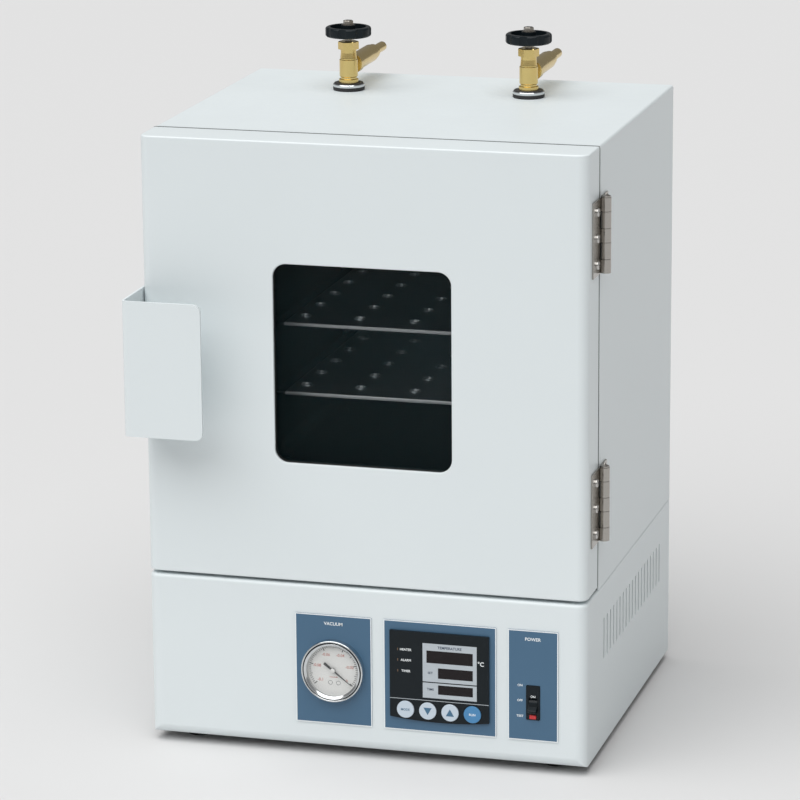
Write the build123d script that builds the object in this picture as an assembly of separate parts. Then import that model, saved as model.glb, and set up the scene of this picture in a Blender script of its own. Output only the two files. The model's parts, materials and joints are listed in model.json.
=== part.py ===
from build123d import *
import os
from math import cos, pi, sin

# Bench vacuum oven of the ten-litre class: a steel cabinet with a windowed door over a control base.
#
# Frame: millimetres, +Z up, front towards -Y. The origin is on the bench, under the centre of the body's footprint.
# Every function below makes one node, from the driving dimensions and the places worked out from them.

# ---------------------------------------------------------------- driving dimensions
body_width = 400.0
foot_height = 8.0
base_height = 150.0
cabinet_height = 396.0
cabinet_depth = 304.0
door_thickness = 44.0
door_seal_gap = 2.0
door_bottom_gap = 3.0
sheet = 1.5
edge_radius = 9.0
base_top_radius = 3.0
case_bend_radius = 2.5
flange_width = 12.0
back_inset = 1.0
fit = 0.3
over = 1.0
deep_over = 5.0
running_fit = 0.05
back_screw_side = 6.5
cover_screw_end = 12.0
base_screw_end = 14.0
lug_half_height = 9.0
floor_edge_gap = 6.0
cut_corner = 1.0

chamber_width = 200.0
chamber_height = 200.0
chamber_depth = 250.0
chamber_wall = 4.0
chamber_corner = 8.0
chamber_flange_margin = 24.0
chamber_flange_thickness = 8.0
chamber_flange_setback = 3.0
chamber_flange_round = 6.0
frame_overlap = 4.0
gasket_inset = 2.0
gasket_width = 10.0
gasket_corner = 10.0
gasket_lip_round = 2.0

heater_thickness = 3.0
heater_length = 200.0
heater_side_height = 170.0
heater_flat_width = 110.0
insulation_thickness = 42.0
insulation_clearance = 1.0
insulation_back_gap = 5.0
insulation_hole_gap = 0.5
insulation_corner = 20.0
stay_radius = 6.0
stay_inset = 15.0
stay_front_inset = 33.0
stay_rear_inset = 23.0
sensor_radius = 3.0
sensor_collar_wall = 2.0
sensor_collar_length = 5.0
sensor_reach = 35.0
sensor_x = 60.0
sensor_above_centre = 60.0

lower_shelf_level = 61.0
upper_shelf_level = 124.0
shelf_width = 174.0
shelf_depth = 236.0
shelf_sheet = 1.2
shelf_lip = 2.8
shelf_setback = 5.0
shelf_hole_radius = 4.5
shelf_hole_rim = 1.2
shelf_hole_rim_wall = 0.9
shelf_hole_pitch_x = 50.0
shelf_hole_pitch_y = 45.0
shelf_hole_columns = 4
shelf_hole_rows = 5
rack_sheet = 1.5
rack_wall_gap = 2.0
rack_bend = 6.0
rack_foot = 8.0
rack_ledge = 18.5
rack_ledge_gap = 3.0
rack_leg_width = 16.0
rack_rail_height = 14.0
rack_height = 150.0

window_width = 160.0
window_height = 178.0
window_corner = 12.0
window_lip_depth = 7.0
window_cover_thickness = 3.0
window_cover_margin = 10.0
window_cover_corner = 6.0
glass_margin = 20.0
glass_thickness = 12.0
glass_corner = 8.0
glass_sight_margin = 6.0
retainer_wall = 11.0
retainer_lip = 5.0
retainer_corner = 12.0
seal_opening_gap = 2.0

handle_reach = 50.0
handle_grip_width = 72.0
handle_height = 121.0
handle_sheet = 2.0
handle_bend_radius = 5.0
handle_corner = 7.0
handle_tab = 34.0
handle_screw_share = 0.65
handle_screw_rise_share = 0.34

hinge_offset = 5.2
hinge_barrel_radius = 4.75
hinge_pin_radius = 2.5
hinge_pin_clearance = 0.05
hinge_length = 66.0
hinge_inset = 77.0
hinge_sheet = 1.5
hinge_door_leaf = 30.0
hinge_case_leaf = 26.0
hinge_door_knuckle = 12.0
hinge_knuckle_gap = 0.4
hinge_finial = 4.0
hinge_screw_pitch = 23.0
case_leaf_screw_share = 0.66
door_leaf_screw_share = 0.6
hinge_head_inset = 0.6
hinge_head_height = 1.0
hinge_finial_neck = 1.4
hinge_finial_tip = 0.5
hinge_finial_share = 0.6
screw_radius = 2.0
screw_head_radius = 3.8
screw_head_height = 2.2
screw_length = 6.0
screw_hole_radius = 2.15
screw_round_share = 0.45

port_inset = 15.0
port_from_front = 258.0
pipe_radius = 6.0
pipe_bore_radius = 4.0
port_hole_radius = 9.0
grommet_radius = 14.5
grommet_height = 3.5
grommet_bevel = 0.6
grommet_neck_gap = 0.2
pipe_fit = 0.1
seal_inset = 1.2
collar_height = 2.5
seal_height = 0.8
valve_foot_radius = 9.0
valve_body_radius = 8.4
valve_neck_radius = 7.2
valve_body_height = 31.5
valve_foot_thickness = 4.0
valve_waist_depth = 0.9
valve_waist_bottom = 4.6
valve_waist_top = 6.0
valve_drum_bottom = 6.8
valve_drum_top = 22.0
valve_groove_depth = 0.7
valve_groove_bottom = 22.5
valve_groove_top = 23.3
valve_shoulder_proud = 0.4
valve_shoulder_height = 23.8
valve_neck_straight = 3.0
valve_inlet_depth = 12.0
spindle_bore_depth = 14.0
bonnet_across_flats = 16.5
bonnet_height = 7.5
bonnet_chamfer = 0.6
bonnet_turn = 15.0
spindle_radius = 3.2
spindle_depth = 12.0
spindle_step = 1.0
wheel_radius = 21.0
wheel_rim_height = 9.0
wheel_hub_radius = 8.0
wheel_lobes = 8
wheel_rim_round = 2.2
wheel_lobe_offset = 5.2
wheel_lobe_radius = 7.0
wheel_web = 5.0
wheel_rim_wall = 4.5
wheel_openings = 4
wheel_opening_reach = 12.0
wheel_opening_radius = 3.0
wheel_hub_inset = 1.5
wheel_hub_rise = 1.5
wheel_washer_radius = 5.6
wheel_washer_thickness = 0.8
wheel_lift_gap = 4.5
wheel_nut_across_flats = 8.0
wheel_nut_height = 4.0
branch_height = 16.0
branch_collar_radius = 9.4
branch_radius = 8.2
branch_length = 72.0
branch_root_radius = 5.0
branch_root_length = 11.0
branch_collar_start = 11.5
branch_collar_end = 21.0
branch_cone_end = 23.0
branch_bevel = 1.0
nozzle_radius = 4.5
nozzle_bore_radius = 2.5
nozzle_length = 40.0
nozzle_nut_length = 10.0
nozzle_nut_inset = 1.2
nozzle_nut_bevel = 1.0

panel_thickness = 0.8
panel_height = 101.0
panel_bottom = 23.0
panel_corner = 0.8
gauge_panel_x = (-63.7, 6.3)
controller_panel_x = (17.4, 119.6)
switch_panel_x = (130.2, 175.2)

gauge_x = -28.6
gauge_height = 73.7
gauge_bezel_radius = 28.3
gauge_dial_radius = 24.5
gauge_case_radius = 26.0
gauge_case_depth = 30.0
gauge_case_wall = 1.2
gauge_stem_radius = 5.0
gauge_stem_length = 8.0
gauge_bezel_depth = 7.0
gauge_bezel_rim = 1.6
gauge_bezel_groove = 0.8
gauge_bezel_sight = 23.4
gauge_bezel_crown = ((0.0, 1.6), (0.3, 0.7), (0.8, 0.0))
gauge_groove_depth = 1.5
gauge_sight_round = ((0.0, 0.1), (0.5, -0.2))
gauge_sight_bevel = 0.6
gauge_lens_inset = 1.2
gauge_dial_thickness = 1.2
gauge_arbor_hole = 1.3
gauge_lens_thickness = 1.5
pointer_length = 21.5
pointer_tail = 10.2
pointer_angle = -38.0
pointer_boss_radius = 2.2
pointer_arbor_radius = 1.2
pointer_standoff = 3.2
pointer_thickness = 0.5
pointer_waist = 2.0
pointer_half_widths = (0.15, 0.75, 0.9, 1.2)
pointer_boss_proud = 0.3
pointer_boss_length = 1.2
pointer_arbor_length = 6.0
gauge_tube_radius = 3.0
gauge_tube_bend = 14.0
gauge_tube_entry = 3.0
gauge_tube_turn_y = (-60.0, 0.0)
gauge_bore_share = 0.6
gauge_tube_port_inset = 20.0
gauge_tube_port_from_front = 235.0

controller_width = 90.0
controller_height = 82.4
controller_bottom = 33.0
controller_bow = 2.9
controller_thickness = 2.4
controller_case_depth = 68.0
controller_rim = 3.0
controller_sill = 14.0
key_radius = 7.8
key_pitch = 20.3
key_first_x = 37.8
key_height = 43.3
key_travel = 0.8
key_clearance = 0.2
key_proud = 1.0
key_thickness = 2.4
key_round = 0.4
display_columns = ((57.1, 99.2), (67.5, 99.1), (67.5, 99.1))
display_rows = ((87.8, 99.2), (73.9, 83.5), (59.2, 67.8))
display_depth = 0.8
display_corner = 0.4
display_window_recess = 0.1
display_window_gap = 0.05

breaker_x = 152.8
breaker_height = 58.0
breaker_nose_width = 12.2
breaker_nose_height = 31.4
breaker_nose_gap = 0.3
breaker_nose_corner = 0.8
breaker_nose_proud = 0.6
breaker_width = 20.0
breaker_body_height = 58.0
breaker_body_depth = 42.0
lever_width = 7.4
lever_drum_radius = 6.0
lever_reach = 5.5
lever_tip = 4.0
lever_gap = 0.25
lever_tip_round = 1.2
lever_below_centre = 2.0
lever_drum_proud = 2.0
lever_swing = 60.0
test_button_width = 5.8
test_button_height = 3.6
test_button_drop = 12.8
test_button_travel = 1.0
test_button_proud = 1.2
test_button_depth = 8.0
test_button_gap = 0.15
test_button_well_corner = 0.6
test_button_corner = 0.5
test_button_round = 0.4

slot_count = 19
slot_pitch = 13.0
slot_width = 4.0
slot_height = 38.0
slot_bottom = 80.0
slot_first = 70.0
slot_end_share = 0.49
foot_radius = 14.0
foot_bevel = 1.0
foot_inset_x = 34.0
foot_inset_y = 36.0
heatsink_from_side = 30.0
heatsink_from_back = 75.0
heatsink_width = 70.0
heatsink_length = 80.0
heatsink_height = 30.0
heatsink_foot = 5.0
heatsink_plate = 4.0
heatsink_fin = 2.0
heatsink_fins = 8
relay_width = 44.0
relay_length = 58.0
relay_height = 22.0
relay_step = 12.0
relay_recess_share = 0.6
inlet_from_side = 80.0
inlet_height = 60.0
inlet_width = 28.0
inlet_tall = 20.0
inlet_flange = 10.0
inlet_depth = 22.0
inlet_wall = 2.0
inlet_pin = 2.0
inlet_gap = 0.2
inlet_corner = 2.0
inlet_flange_rise = 6.0
inlet_flange_corner = 3.0
inlet_flange_thickness = 3.0
inlet_pin_places = ((-7.0, -2.0), (0.0, 3.0), (7.0, -2.0))
inlet_pin_setback = 6.0
vent_count = 12
vent_from_top = 45.0
base_vent_x = 60.0

# ---------------------------------------------------------------- places worked out from them
half_width = body_width / 2
body_depth = cabinet_depth + door_seal_gap + door_thickness
y_front = -body_depth / 2
y_door_back = y_front + door_thickness
y_cabinet = y_door_back + door_seal_gap
y_back = y_cabinet + cabinet_depth
z_base = foot_height
z_split = z_base + base_height
z_top = z_split + cabinet_height
z_door = z_split + door_bottom_gap
z_centre = (z_door + z_top) / 2

y_flange = y_cabinet + chamber_flange_setback
y_flange_back = y_flange + chamber_flange_thickness
y_chamber_inner = y_flange + chamber_depth
y_chamber_back = y_chamber_inner + chamber_wall
chamber_outer_width = chamber_width + 2 * chamber_wall
chamber_outer_height = chamber_height + 2 * chamber_wall
flange_wide = chamber_width + 2 * chamber_flange_margin
flange_tall = chamber_height + 2 * chamber_flange_margin
z_chamber_floor = z_centre - chamber_height / 2
z_chamber_under = z_centre - chamber_outer_height / 2
y_insulation_back = y_back - sheet - insulation_back_gap
z_chamber_over = z_centre + chamber_outer_height / 2
cavity_wide = chamber_outer_width + 2 * (heater_thickness + insulation_clearance)
cavity_tall = chamber_outer_height + 2 * (heater_thickness + insulation_clearance)
y_glass_back = y_door_back - sheet
y_glass_front = y_glass_back - glass_thickness
glass_width = chamber_width + 2 * glass_margin
glass_height = chamber_height + 2 * glass_margin
port_x = chamber_width / 2 - port_inset
gauge_tube_port_x = gauge_tube_port_inset - chamber_width / 2
gauge_tube_port_y = y_front + gauge_tube_port_from_front
stay_x = chamber_width / 2 - stay_inset
shelf_levels = (lower_shelf_level, upper_shelf_level)
y_port = y_front + port_from_front
valve_base = z_top + grommet_height + collar_height
y_panel_face = y_front - panel_thickness
y_face_front = y_panel_face - controller_thickness
z_gauge = z_base + gauge_height
y_gauge_back = y_panel_face + gauge_case_depth
hinge_x = half_width + hinge_offset
hinge_y = (y_door_back + y_cabinet) / 2
hinge_levels = (z_top - hinge_inset, z_door + hinge_inset)
handle_z0 = z_centre - handle_height / 2
handle_side = -half_width - handle_sheet
breaker_z = z_base + breaker_height
lever_z = breaker_z - lever_below_centre
lever_y = y_front + lever_drum_radius - lever_drum_proud
test_button_z = breaker_z - test_button_drop
inlet_x = inlet_from_side - half_width
heatsink_x = (heatsink_from_side - half_width, heatsink_from_side + heatsink_width - half_width)
heatsink_y = (y_back - heatsink_from_back - heatsink_length, y_back - heatsink_from_back)
controller_x = sum(controller_panel_x) / 2
controller_z = z_base + controller_bottom + controller_height / 2
controller_cut_z = controller_z + (controller_sill - controller_rim) / 2


# ---------------------------------------------------------------- shared shapes
def block(x0, x1, y0, y1, z0, z1):
    """A box between two corners."""
    return Pos((x0 + x1) / 2, (y0 + y1) / 2, (z0 + z1) / 2) * Box(x1 - x0, y1 - y0, z1 - z0)


def rod(start, axis, length, radius):
    """A round bar from a point along an axis."""
    place = Plane(origin=start, z_dir=axis)
    return place * Cylinder(radius, length, align=(Align.CENTER, Align.CENTER, Align.MIN))


def slab(x, z, width, height, corner, y0, y1):
    """A rounded rectangle facing the front, centred on x and z, from y0 back to y1."""
    face = Plane(origin=(x, y1, z), x_dir=(1, 0, 0), z_dir=(0, -1, 0))
    return extrude(face * RectangleRounded(width, height, corner), y1 - y0)


def ring_slab(x, z, outer, inner, corners, y0, y1):
    """A rounded rectangular frame: outer and inner are (width, height), corners their radii."""
    body = slab(x, z, *outer, corners[0], y0, y1)
    return body - slab(x, z, *inner, corners[1], y0, y1)


def turned(profile, origin, axis):
    """A profile of (radius, height) points, turned about an axis through origin."""
    across = (1, 0, 0) if abs(axis[0]) < 0.5 else (0, 1, 0)
    place = Plane(origin=origin, x_dir=across, z_dir=axis)
    half = Plane(origin=origin, x_dir=across, z_dir=-(place.y_dir))
    outline = make_face(half * Polyline(*profile, close=True))
    return revolve(outline, Axis(origin, axis), 360)


def bodies(*shapes):
    """Several separate solids as one node."""
    return Compound(children=[solid for shape in shapes for solid in shape.solids()])


def screw(point, axis):
    """A pan-head screw whose head sits on point and whose shank goes in against axis."""
    inward = tuple(-part for part in axis)
    head = rod(point, axis, screw_head_height, screw_head_radius)
    rim = head.faces().sort_by(lambda f: Vector(*axis).dot(f.center()))[-1].edges()
    head = fillet(rim, screw_head_height * screw_round_share)
    return head + rod(point, inward, screw_length, screw_radius)


def screw_hole(point, axis):
    """The clearance hole that a screw at the same point passes through."""
    inward = tuple(-part for part in axis)
    start = tuple(p + a * deep_over for p, a in zip(point, axis))
    return rod(start, inward, screw_length + 2 * deep_over, screw_hole_radius)


def pressed_box(x0, x1, y0, y1, z0, z1, radius, top_radius):
    """A box whose front edges are rounded as a pressed panel's are."""
    body = block(x0, x1, y0, y1, z0, z1)
    front = body.faces().sort_by(Axis.Y)[0]
    if top_radius == radius:
        return fillet(front.edges(), radius)
    low_edges = front.edges().sort_by(Axis.Z)[:-1]
    body = fillet(low_edges, radius)
    front = body.faces().sort_by(Axis.Y)[0]
    return fillet([front.edges().sort_by(Axis.Z)[-1]], top_radius)


# ---------------------------------------------------------------- screw places
def case_leaf_screws():
    """Where the screws of the cabinet's hinge leaves sit."""
    y = hinge_y + hinge_case_leaf * case_leaf_screw_share
    x = half_width + hinge_sheet
    return [(x, y, z + k * hinge_screw_pitch) for z in hinge_levels for k in (-1, 0, 1)]


def door_leaf_screws():
    """Where the screws of the door's hinge leaves sit."""
    y = hinge_y - hinge_door_leaf * door_leaf_screw_share
    x = half_width + hinge_sheet
    return [(x, y, z + k * hinge_screw_pitch) for z in hinge_levels for k in (-1, 0, 1)]


def handle_screws():
    """Where the screws of the door handle sit, on the door's left side."""
    y = y_front + handle_tab * handle_screw_share
    return [(handle_side, y, z_centre + k * handle_height * handle_screw_rise_share) for k in (-1, 1)]


def back_screws():
    """Where the screws of both back covers sit."""
    side = half_width - back_screw_side
    upper_rows = (cover_screw_end, cabinet_height / 2, cabinet_height - cover_screw_end)
    lower_rows = (base_screw_end, base_height - base_screw_end)
    upper = [(s * side, y_back, z_split + h) for s in (-1, 1) for h in upper_rows]
    lower = [(s * side, y_back, z_base + h) for s in (-1, 1) for h in lower_rows]
    return upper + lower


# ---------------------------------------------------------------- casing
def outer_case():
    """Top and sides of the cabinet, one folded sheet with returns at the front and back."""
    back = y_back - sheet
    outer = block(-half_width, half_width, y_cabinet, back, z_split, z_top)
    outer = fillet(outer.edges().filter_by(Axis.Y).sort_by(Axis.Z)[-2:], case_bend_radius)
    inside = half_width - sheet
    inner = block(-inside, inside, y_cabinet + sheet, back - sheet, z_split - over, z_top - sheet)
    case = outer - inner
    mouth = inside - flange_width
    case -= block(-mouth, mouth, y_cabinet - over, back + over, z_split - over, z_top - sheet - flange_width)
    for side in (-1, 1):
        case -= rod((side * port_x, y_port, z_top - 2 * deep_over), (0, 0, 1), 4 * deep_over, port_hole_radius)
    for point in case_leaf_screws():
        case -= screw_hole(point, (1, 0, 0))
    for point in back_screws()[:6]:
        case -= screw_hole(point, (0, 1, 0))
    return case


def front_frame():
    """The flat frame inside the cabinet's front returns, round the chamber's mouth."""
    wide = body_width - 2 * sheet
    low, high = z_split + sheet, z_top - sheet
    y0 = y_cabinet + sheet
    plate = block(-wide / 2, wide / 2, y0, y0 + sheet, low, high)
    opening = (flange_wide - 2 * frame_overlap, flange_tall - 2 * frame_overlap)
    return plate - slab(0, z_centre, *opening, gasket_corner + frame_overlap, y0 - over, y0 + sheet + over)


def cabinet_back_cover():
    """The screwed back cover of the cabinet, with a row of vents near its top."""
    side = half_width - back_inset
    y0 = y_back - sheet
    cover = block(-side, side, y0, y_back, z_split + back_inset, z_top - back_inset)
    for k in range(vent_count):
        x = (k - (vent_count - 1) / 2) * slot_pitch
        cover -= slab(
            x, z_top - vent_from_top, slot_width, slot_height, slot_width * slot_end_share, y0 - over, y_back + over
        )
    for point in back_screws()[:6]:
        cover -= screw_hole(point, (0, 1, 0))
    return cover


def cabinet_floor_panel():
    """The plate that closes the cabinet below and carries the chamber's stays."""
    side = half_width - sheet
    y0 = y_cabinet + 2 * sheet
    panel = block(-side, side, y0, y_back - 2 * sheet, z_split, z_split + sheet)
    hole = rod((gauge_tube_port_x, gauge_tube_port_y, z_split - deep_over), (0, 0, 1), 4 * deep_over, gauge_tube_radius + over)
    return panel - hole


def side_slots(side):
    """The row of upright cooling slots in one side of the base."""
    for k in range(slot_count):
        y = y_front + slot_first + k * slot_pitch
        start = (side * (half_width - deep_over), y, z_base + slot_bottom + slot_height / 2)
        place = Plane(origin=start, z_dir=(side, 0, 0), x_dir=(0, 1, 0))
        yield extrude(place * SlotOverall(slot_height, slot_width, rotation=90), 2 * deep_over)


def base_case():
    """The control base: front and sides pressed from sheet, open below and behind."""
    back = y_back - sheet
    outer = pressed_box(-half_width, half_width, y_front, back, z_base, z_split, edge_radius, base_top_radius)
    inside = half_width - sheet
    inner = pressed_box(
        -inside, inside, y_front + sheet, back + deep_over, z_base + sheet, z_split - sheet,
        edge_radius - sheet, base_top_radius - sheet
    )
    case = outer - inner
    y_floor = y_front + edge_radius + floor_edge_gap
    case -= block(-inside, inside, y_floor, back + over, z_base - over, z_base + sheet + over)
    side = inside - flange_width
    y_open = y_cabinet + flange_width + 2 * sheet
    case -= block(-side, side, y_open, back + over, z_split - sheet - over, z_split + over)
    for side in (-1, 1):
        for slot in side_slots(side):
            case -= slot
    case -= rod((gauge_x, y_front - deep_over, z_gauge), (0, 1, 0), 3 * deep_over, gauge_case_radius + fit)
    case -= controller_cutout(y_front - deep_over, y_front + 2 * deep_over)
    case -= breaker_cutout(y_front - deep_over, y_front + 2 * deep_over)
    for lug in base_lugs():
        case += lug
    for point in back_screws()[6:]:
        case -= screw_hole(point, (0, 1, 0))
    return case


def base_lugs():
    """The folded lugs at the back of the base that take the back cover's screws."""
    y1 = y_back - sheet
    for x, _, z in back_screws()[6:]:
        side = 1 if x > 0 else -1
        edge = side * (half_width - sheet)
        x0, x1 = sorted((edge, edge - side * flange_width))
        yield block(x0, x1, y1 - sheet, y1, z - lug_half_height, z + lug_half_height)


def controller_cutout(y0, y1):
    """The opening in the front that the controller's case goes through."""
    width = controller_width - 2 * controller_rim
    height = controller_height - controller_rim - controller_sill
    return slab(controller_x, controller_cut_z, width, height, cut_corner, y0, y1)


def breaker_cutout(y0, y1):
    """The opening for the breaker's nose, in the plate and in the base."""
    width, height = breaker_nose_width + 2 * breaker_nose_gap, breaker_nose_height + 2 * breaker_nose_gap
    return slab(breaker_x, breaker_z, width, height, cut_corner, y0, y1)


def base_back_cover():
    """The back cover of the base, with the power inlet's opening and vents."""
    side = half_width - back_inset
    y0 = y_back - sheet
    cover = block(-side, side, y0, y_back, z_base + back_inset, z_split - back_inset)
    hole = (inlet_width + 2 * inlet_gap, inlet_tall + 2 * inlet_gap)
    cover -= slab(inlet_x, z_base + inlet_height, *hole, inlet_corner, y0 - over, y_back + over)
    for k in range(vent_count):
        x = base_vent_x + (k - (vent_count - 1) / 2) * slot_pitch
        middle = z_base + base_height / 2
        cover -= slab(x, middle, slot_width, slot_height, slot_width * slot_end_share, y0 - over, y_back + over)
    for point in back_screws()[6:]:
        cover -= screw_hole(point, (0, 1, 0))
    return cover


def base_floor_plate():
    """The bottom plate of the base, between its side walls."""
    side = half_width - sheet
    return block(-side, side, y_front + edge_radius + floor_edge_gap, y_back - sheet, z_base, z_base + sheet)


def rubber_feet():
    """Four round rubber feet under the bottom plate."""
    r, bevel = foot_radius, foot_bevel
    profile = [(0, 0), (r - 2 * bevel, 0), (r - bevel, bevel), (r, foot_height), (0, foot_height)]
    places = [
        (sx * (half_width - foot_inset_x), sy * (body_depth / 2 - foot_inset_y), 0) for sx in (-1, 1) for sy in (-1, 1)
    ]
    return bodies(*[turned(profile, place, (0, 0, 1)) for place in places])


def case_screws():
    """The screws of both back covers and of the cabinet's hinge leaves."""
    covers = [screw(point, (0, 1, 0)) for point in back_screws()]
    return bodies(*covers, *[screw(point, (1, 0, 0)) for point in case_leaf_screws()])


# ---------------------------------------------------------------- chamber
def vacuum_chamber():
    """The welded stainless chamber with its front flange and its ports."""
    outer_corner = chamber_corner + chamber_wall
    shell = slab(0, z_centre, chamber_outer_width, chamber_outer_height, outer_corner, y_flange, y_chamber_back)
    shell += slab(0, z_centre, flange_wide, flange_tall, gasket_corner + chamber_flange_round, y_flange, y_flange_back)
    shell -= slab(0, z_centre, chamber_width, chamber_height, chamber_corner, y_flange - over, y_chamber_inner)
    for side in (-1, 1):
        shell -= rod((side * port_x, y_port, z_chamber_over - 2 * deep_over), (0, 0, 1), 4 * deep_over, pipe_bore_radius)
    start = (gauge_tube_port_x, gauge_tube_port_y, z_chamber_under - deep_over)
    shell -= rod(start, (0, 0, 1), 4 * deep_over, gauge_tube_radius * gauge_bore_share)
    sensor = sensor_start()
    return shell - rod((sensor[0], y_chamber_inner - deep_over, sensor[2]), (0, 1, 0), 4 * deep_over, sensor_radius)


def chamber_gasket():
    """The silicone packing on the chamber's flange, which the door's glass closes on."""
    outer = (chamber_width + 2 * (gasket_inset + gasket_width), chamber_height + 2 * (gasket_inset + gasket_width))
    inner = (chamber_width + 2 * gasket_inset, chamber_height + 2 * gasket_inset)
    corners = (gasket_corner + gasket_inset, gasket_corner)
    packing = ring_slab(0, z_centre, outer, inner, corners, y_glass_back + fit, y_flange)
    lip = packing.faces().sort_by(Axis.Y)[0].edges()
    return fillet(lip, gasket_lip_round)


def chamber_heaters():
    """Four flat heater pads on the chamber's outer walls."""
    y0 = (y_flange_back + y_chamber_back - heater_length) / 2
    y1 = y0 + heater_length
    wall = chamber_outer_width / 2
    side_half = heater_side_height / 2
    flat_half = heater_flat_width / 2
    left = block(-wall - heater_thickness, -wall, y0, y1, z_centre - side_half, z_centre + side_half)
    right = block(wall, wall + heater_thickness, y0, y1, z_centre - side_half, z_centre + side_half)
    over = block(-flat_half, flat_half, y0, y1, z_chamber_over, z_chamber_over + heater_thickness)
    under = block(-flat_half, flat_half, y0, y1, z_chamber_under - heater_thickness, z_chamber_under)
    return bodies(left, right, over, under)


def stay_places():
    """Where the four stays stand, in x and y."""
    rows = (y_flange_back + stay_front_inset, y_chamber_back - stay_rear_inset)
    return [(sx * stay_x, y) for sx in (-1, 1) for y in rows]


def insulation_blanket():
    """The glass-wool jacket round the chamber, with holes for everything that crosses it."""
    wide, tall = cavity_wide + 2 * insulation_thickness, cavity_tall + 2 * insulation_thickness
    jacket = slab(0, z_centre, wide, tall, insulation_corner, y_flange_back, y_insulation_back)
    inner_back = y_chamber_back + insulation_clearance
    jacket -= slab(0, z_centre, cavity_wide, cavity_tall, chamber_wall, y_flange_back - over, inner_back)
    reach = tall / 2 + over
    for side in (-1, 1):
        jacket -= rod((side * port_x, y_port, z_centre), (0, 0, 1), reach, pipe_radius + insulation_hole_gap)
    for x, y in stay_places():
        jacket -= rod((x, y, z_centre), (0, 0, -1), reach, stay_radius + insulation_hole_gap)
    tube_hole = gauge_tube_radius + insulation_hole_gap
    jacket -= rod((gauge_tube_port_x, gauge_tube_port_y, z_centre), (0, 0, -1), reach, tube_hole)
    x, _, z = sensor_start()
    collar_hole = sensor_radius + sensor_collar_wall + insulation_hole_gap
    return jacket - rod((x, y_chamber_inner, z), (0, 1, 0), y_insulation_back - y_chamber_inner + over, collar_hole)


def chamber_stays():
    """Four round posts that carry the chamber on the cabinet's floor panel."""
    low = z_split + sheet
    posts = [rod((x, y, low), (0, 0, 1), z_chamber_under - low, stay_radius) for x, y in stay_places()]
    return bodies(*posts)


def sensor_start():
    """The tip of the temperature sensor, inside the chamber."""
    return (sensor_x, y_chamber_inner - sensor_reach, z_centre + sensor_above_centre)


def temperature_sensor():
    """The thermocouple that comes through the chamber's back wall, with its collar and its tail."""
    x, y, z = sensor_start()
    tail = (y_insulation_back - y_chamber_back) / 2
    stem = rod((x, y, z), (0, 1, 0), sensor_reach + chamber_wall + tail, sensor_radius)
    stem = fillet(stem.faces().sort_by(Axis.Y)[0].edges(), sensor_radius * 0.6)
    collar = rod((x, y_chamber_back, z), (0, 1, 0), sensor_collar_length, sensor_radius + sensor_collar_wall)
    return stem + collar


def shelf_z(level):
    """Height of a shelf's top face."""
    return z_chamber_floor + level


def shelf_front():
    """The plane of the shelves' front edges."""
    return y_flange + shelf_setback


def shelf(level):
    """A perforated steel shelf with turned-down lips in front and behind, and raised rims round its holes."""
    top = shelf_z(level)
    y0, y1 = shelf_front(), shelf_front() + shelf_depth
    half = shelf_width / 2
    tray = block(-half, half, y0, y1, top - shelf_lip, top)
    tray -= block(-half - over, half + over, y0 + shelf_sheet, y1 - shelf_sheet, top - shelf_lip - over, top - shelf_sheet)
    first_x = -(shelf_hole_columns - 1) / 2 * shelf_hole_pitch_x
    first_y = (y0 + y1) / 2 - (shelf_hole_rows - 1) / 2 * shelf_hole_pitch_y
    rim_radius, rim_height = shelf_hole_radius + shelf_hole_rim_wall, shelf_sheet + shelf_hole_rim
    for column in range(shelf_hole_columns):
        for row in range(shelf_hole_rows):
            x, y = first_x + column * shelf_hole_pitch_x, first_y + row * shelf_hole_pitch_y
            tray += rod((x, y, top - shelf_sheet), (0, 0, 1), rim_height, rim_radius)
            tray -= rod((x, y, top - shelf_sheet - over), (0, 0, 1), rim_height + 2 * over, shelf_hole_radius)
    return tray


def rack_section():
    """The right rack's bent profile seen from the front: an upright with a foot turned inwards on the floor."""
    outer = chamber_width / 2 - rack_wall_gap
    inner = outer - rack_sheet
    bend_x = outer - rack_bend
    toe = bend_x - rack_foot
    low, high = z_chamber_floor, z_chamber_floor + rack_height
    top_of_bend = low + rack_bend
    outline = [
        Line((toe, low), (bend_x, low)),
        RadiusArc((bend_x, low), (outer, top_of_bend), -rack_bend),
        Polyline((outer, top_of_bend), (outer, high), (inner, high), (inner, top_of_bend)),
        RadiusArc((inner, top_of_bend), (bend_x, low + rack_sheet), rack_bend - rack_sheet),
        Polyline((bend_x, low + rack_sheet), (toe, low + rack_sheet), (toe, low)),
    ]
    return make_face(outline)


def right_rack():
    """The right rack: two legs on turned-in feet, joined by rails that carry a folded ledge under each shelf."""
    edge = chamber_width / 2 - rack_wall_gap
    tip = edge - rack_sheet - rack_ledge
    y0 = shelf_front() + rack_ledge_gap
    y1 = y0 + shelf_depth - 2 * rack_ledge_gap
    back = Plane(origin=(0, y1, 0), x_dir=(1, 0, 0), z_dir=(0, -1, 0))
    rack = extrude(back * rack_section(), y1 - y0)
    rails = [shelf_z(level) - shelf_sheet for level in shelf_levels]
    gaps = [
        (z_chamber_floor - over, rails[0] - rack_rail_height),
        (rails[0], rails[1] - rack_rail_height),
        (rails[1], z_chamber_floor + rack_height + over),
    ]
    for z0, z1 in gaps:
        rack -= block(tip, edge + over, y0 + rack_leg_width, y1 - rack_leg_width, z0, z1)
    for under in rails:
        rack += block(tip, edge, y0, y1, under - rack_sheet, under)
    return rack


def shelf_racks():
    """The racks on both sides of the chamber."""
    rack = right_rack()
    return bodies(rack, mirror(rack, about=Plane.YZ))


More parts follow.
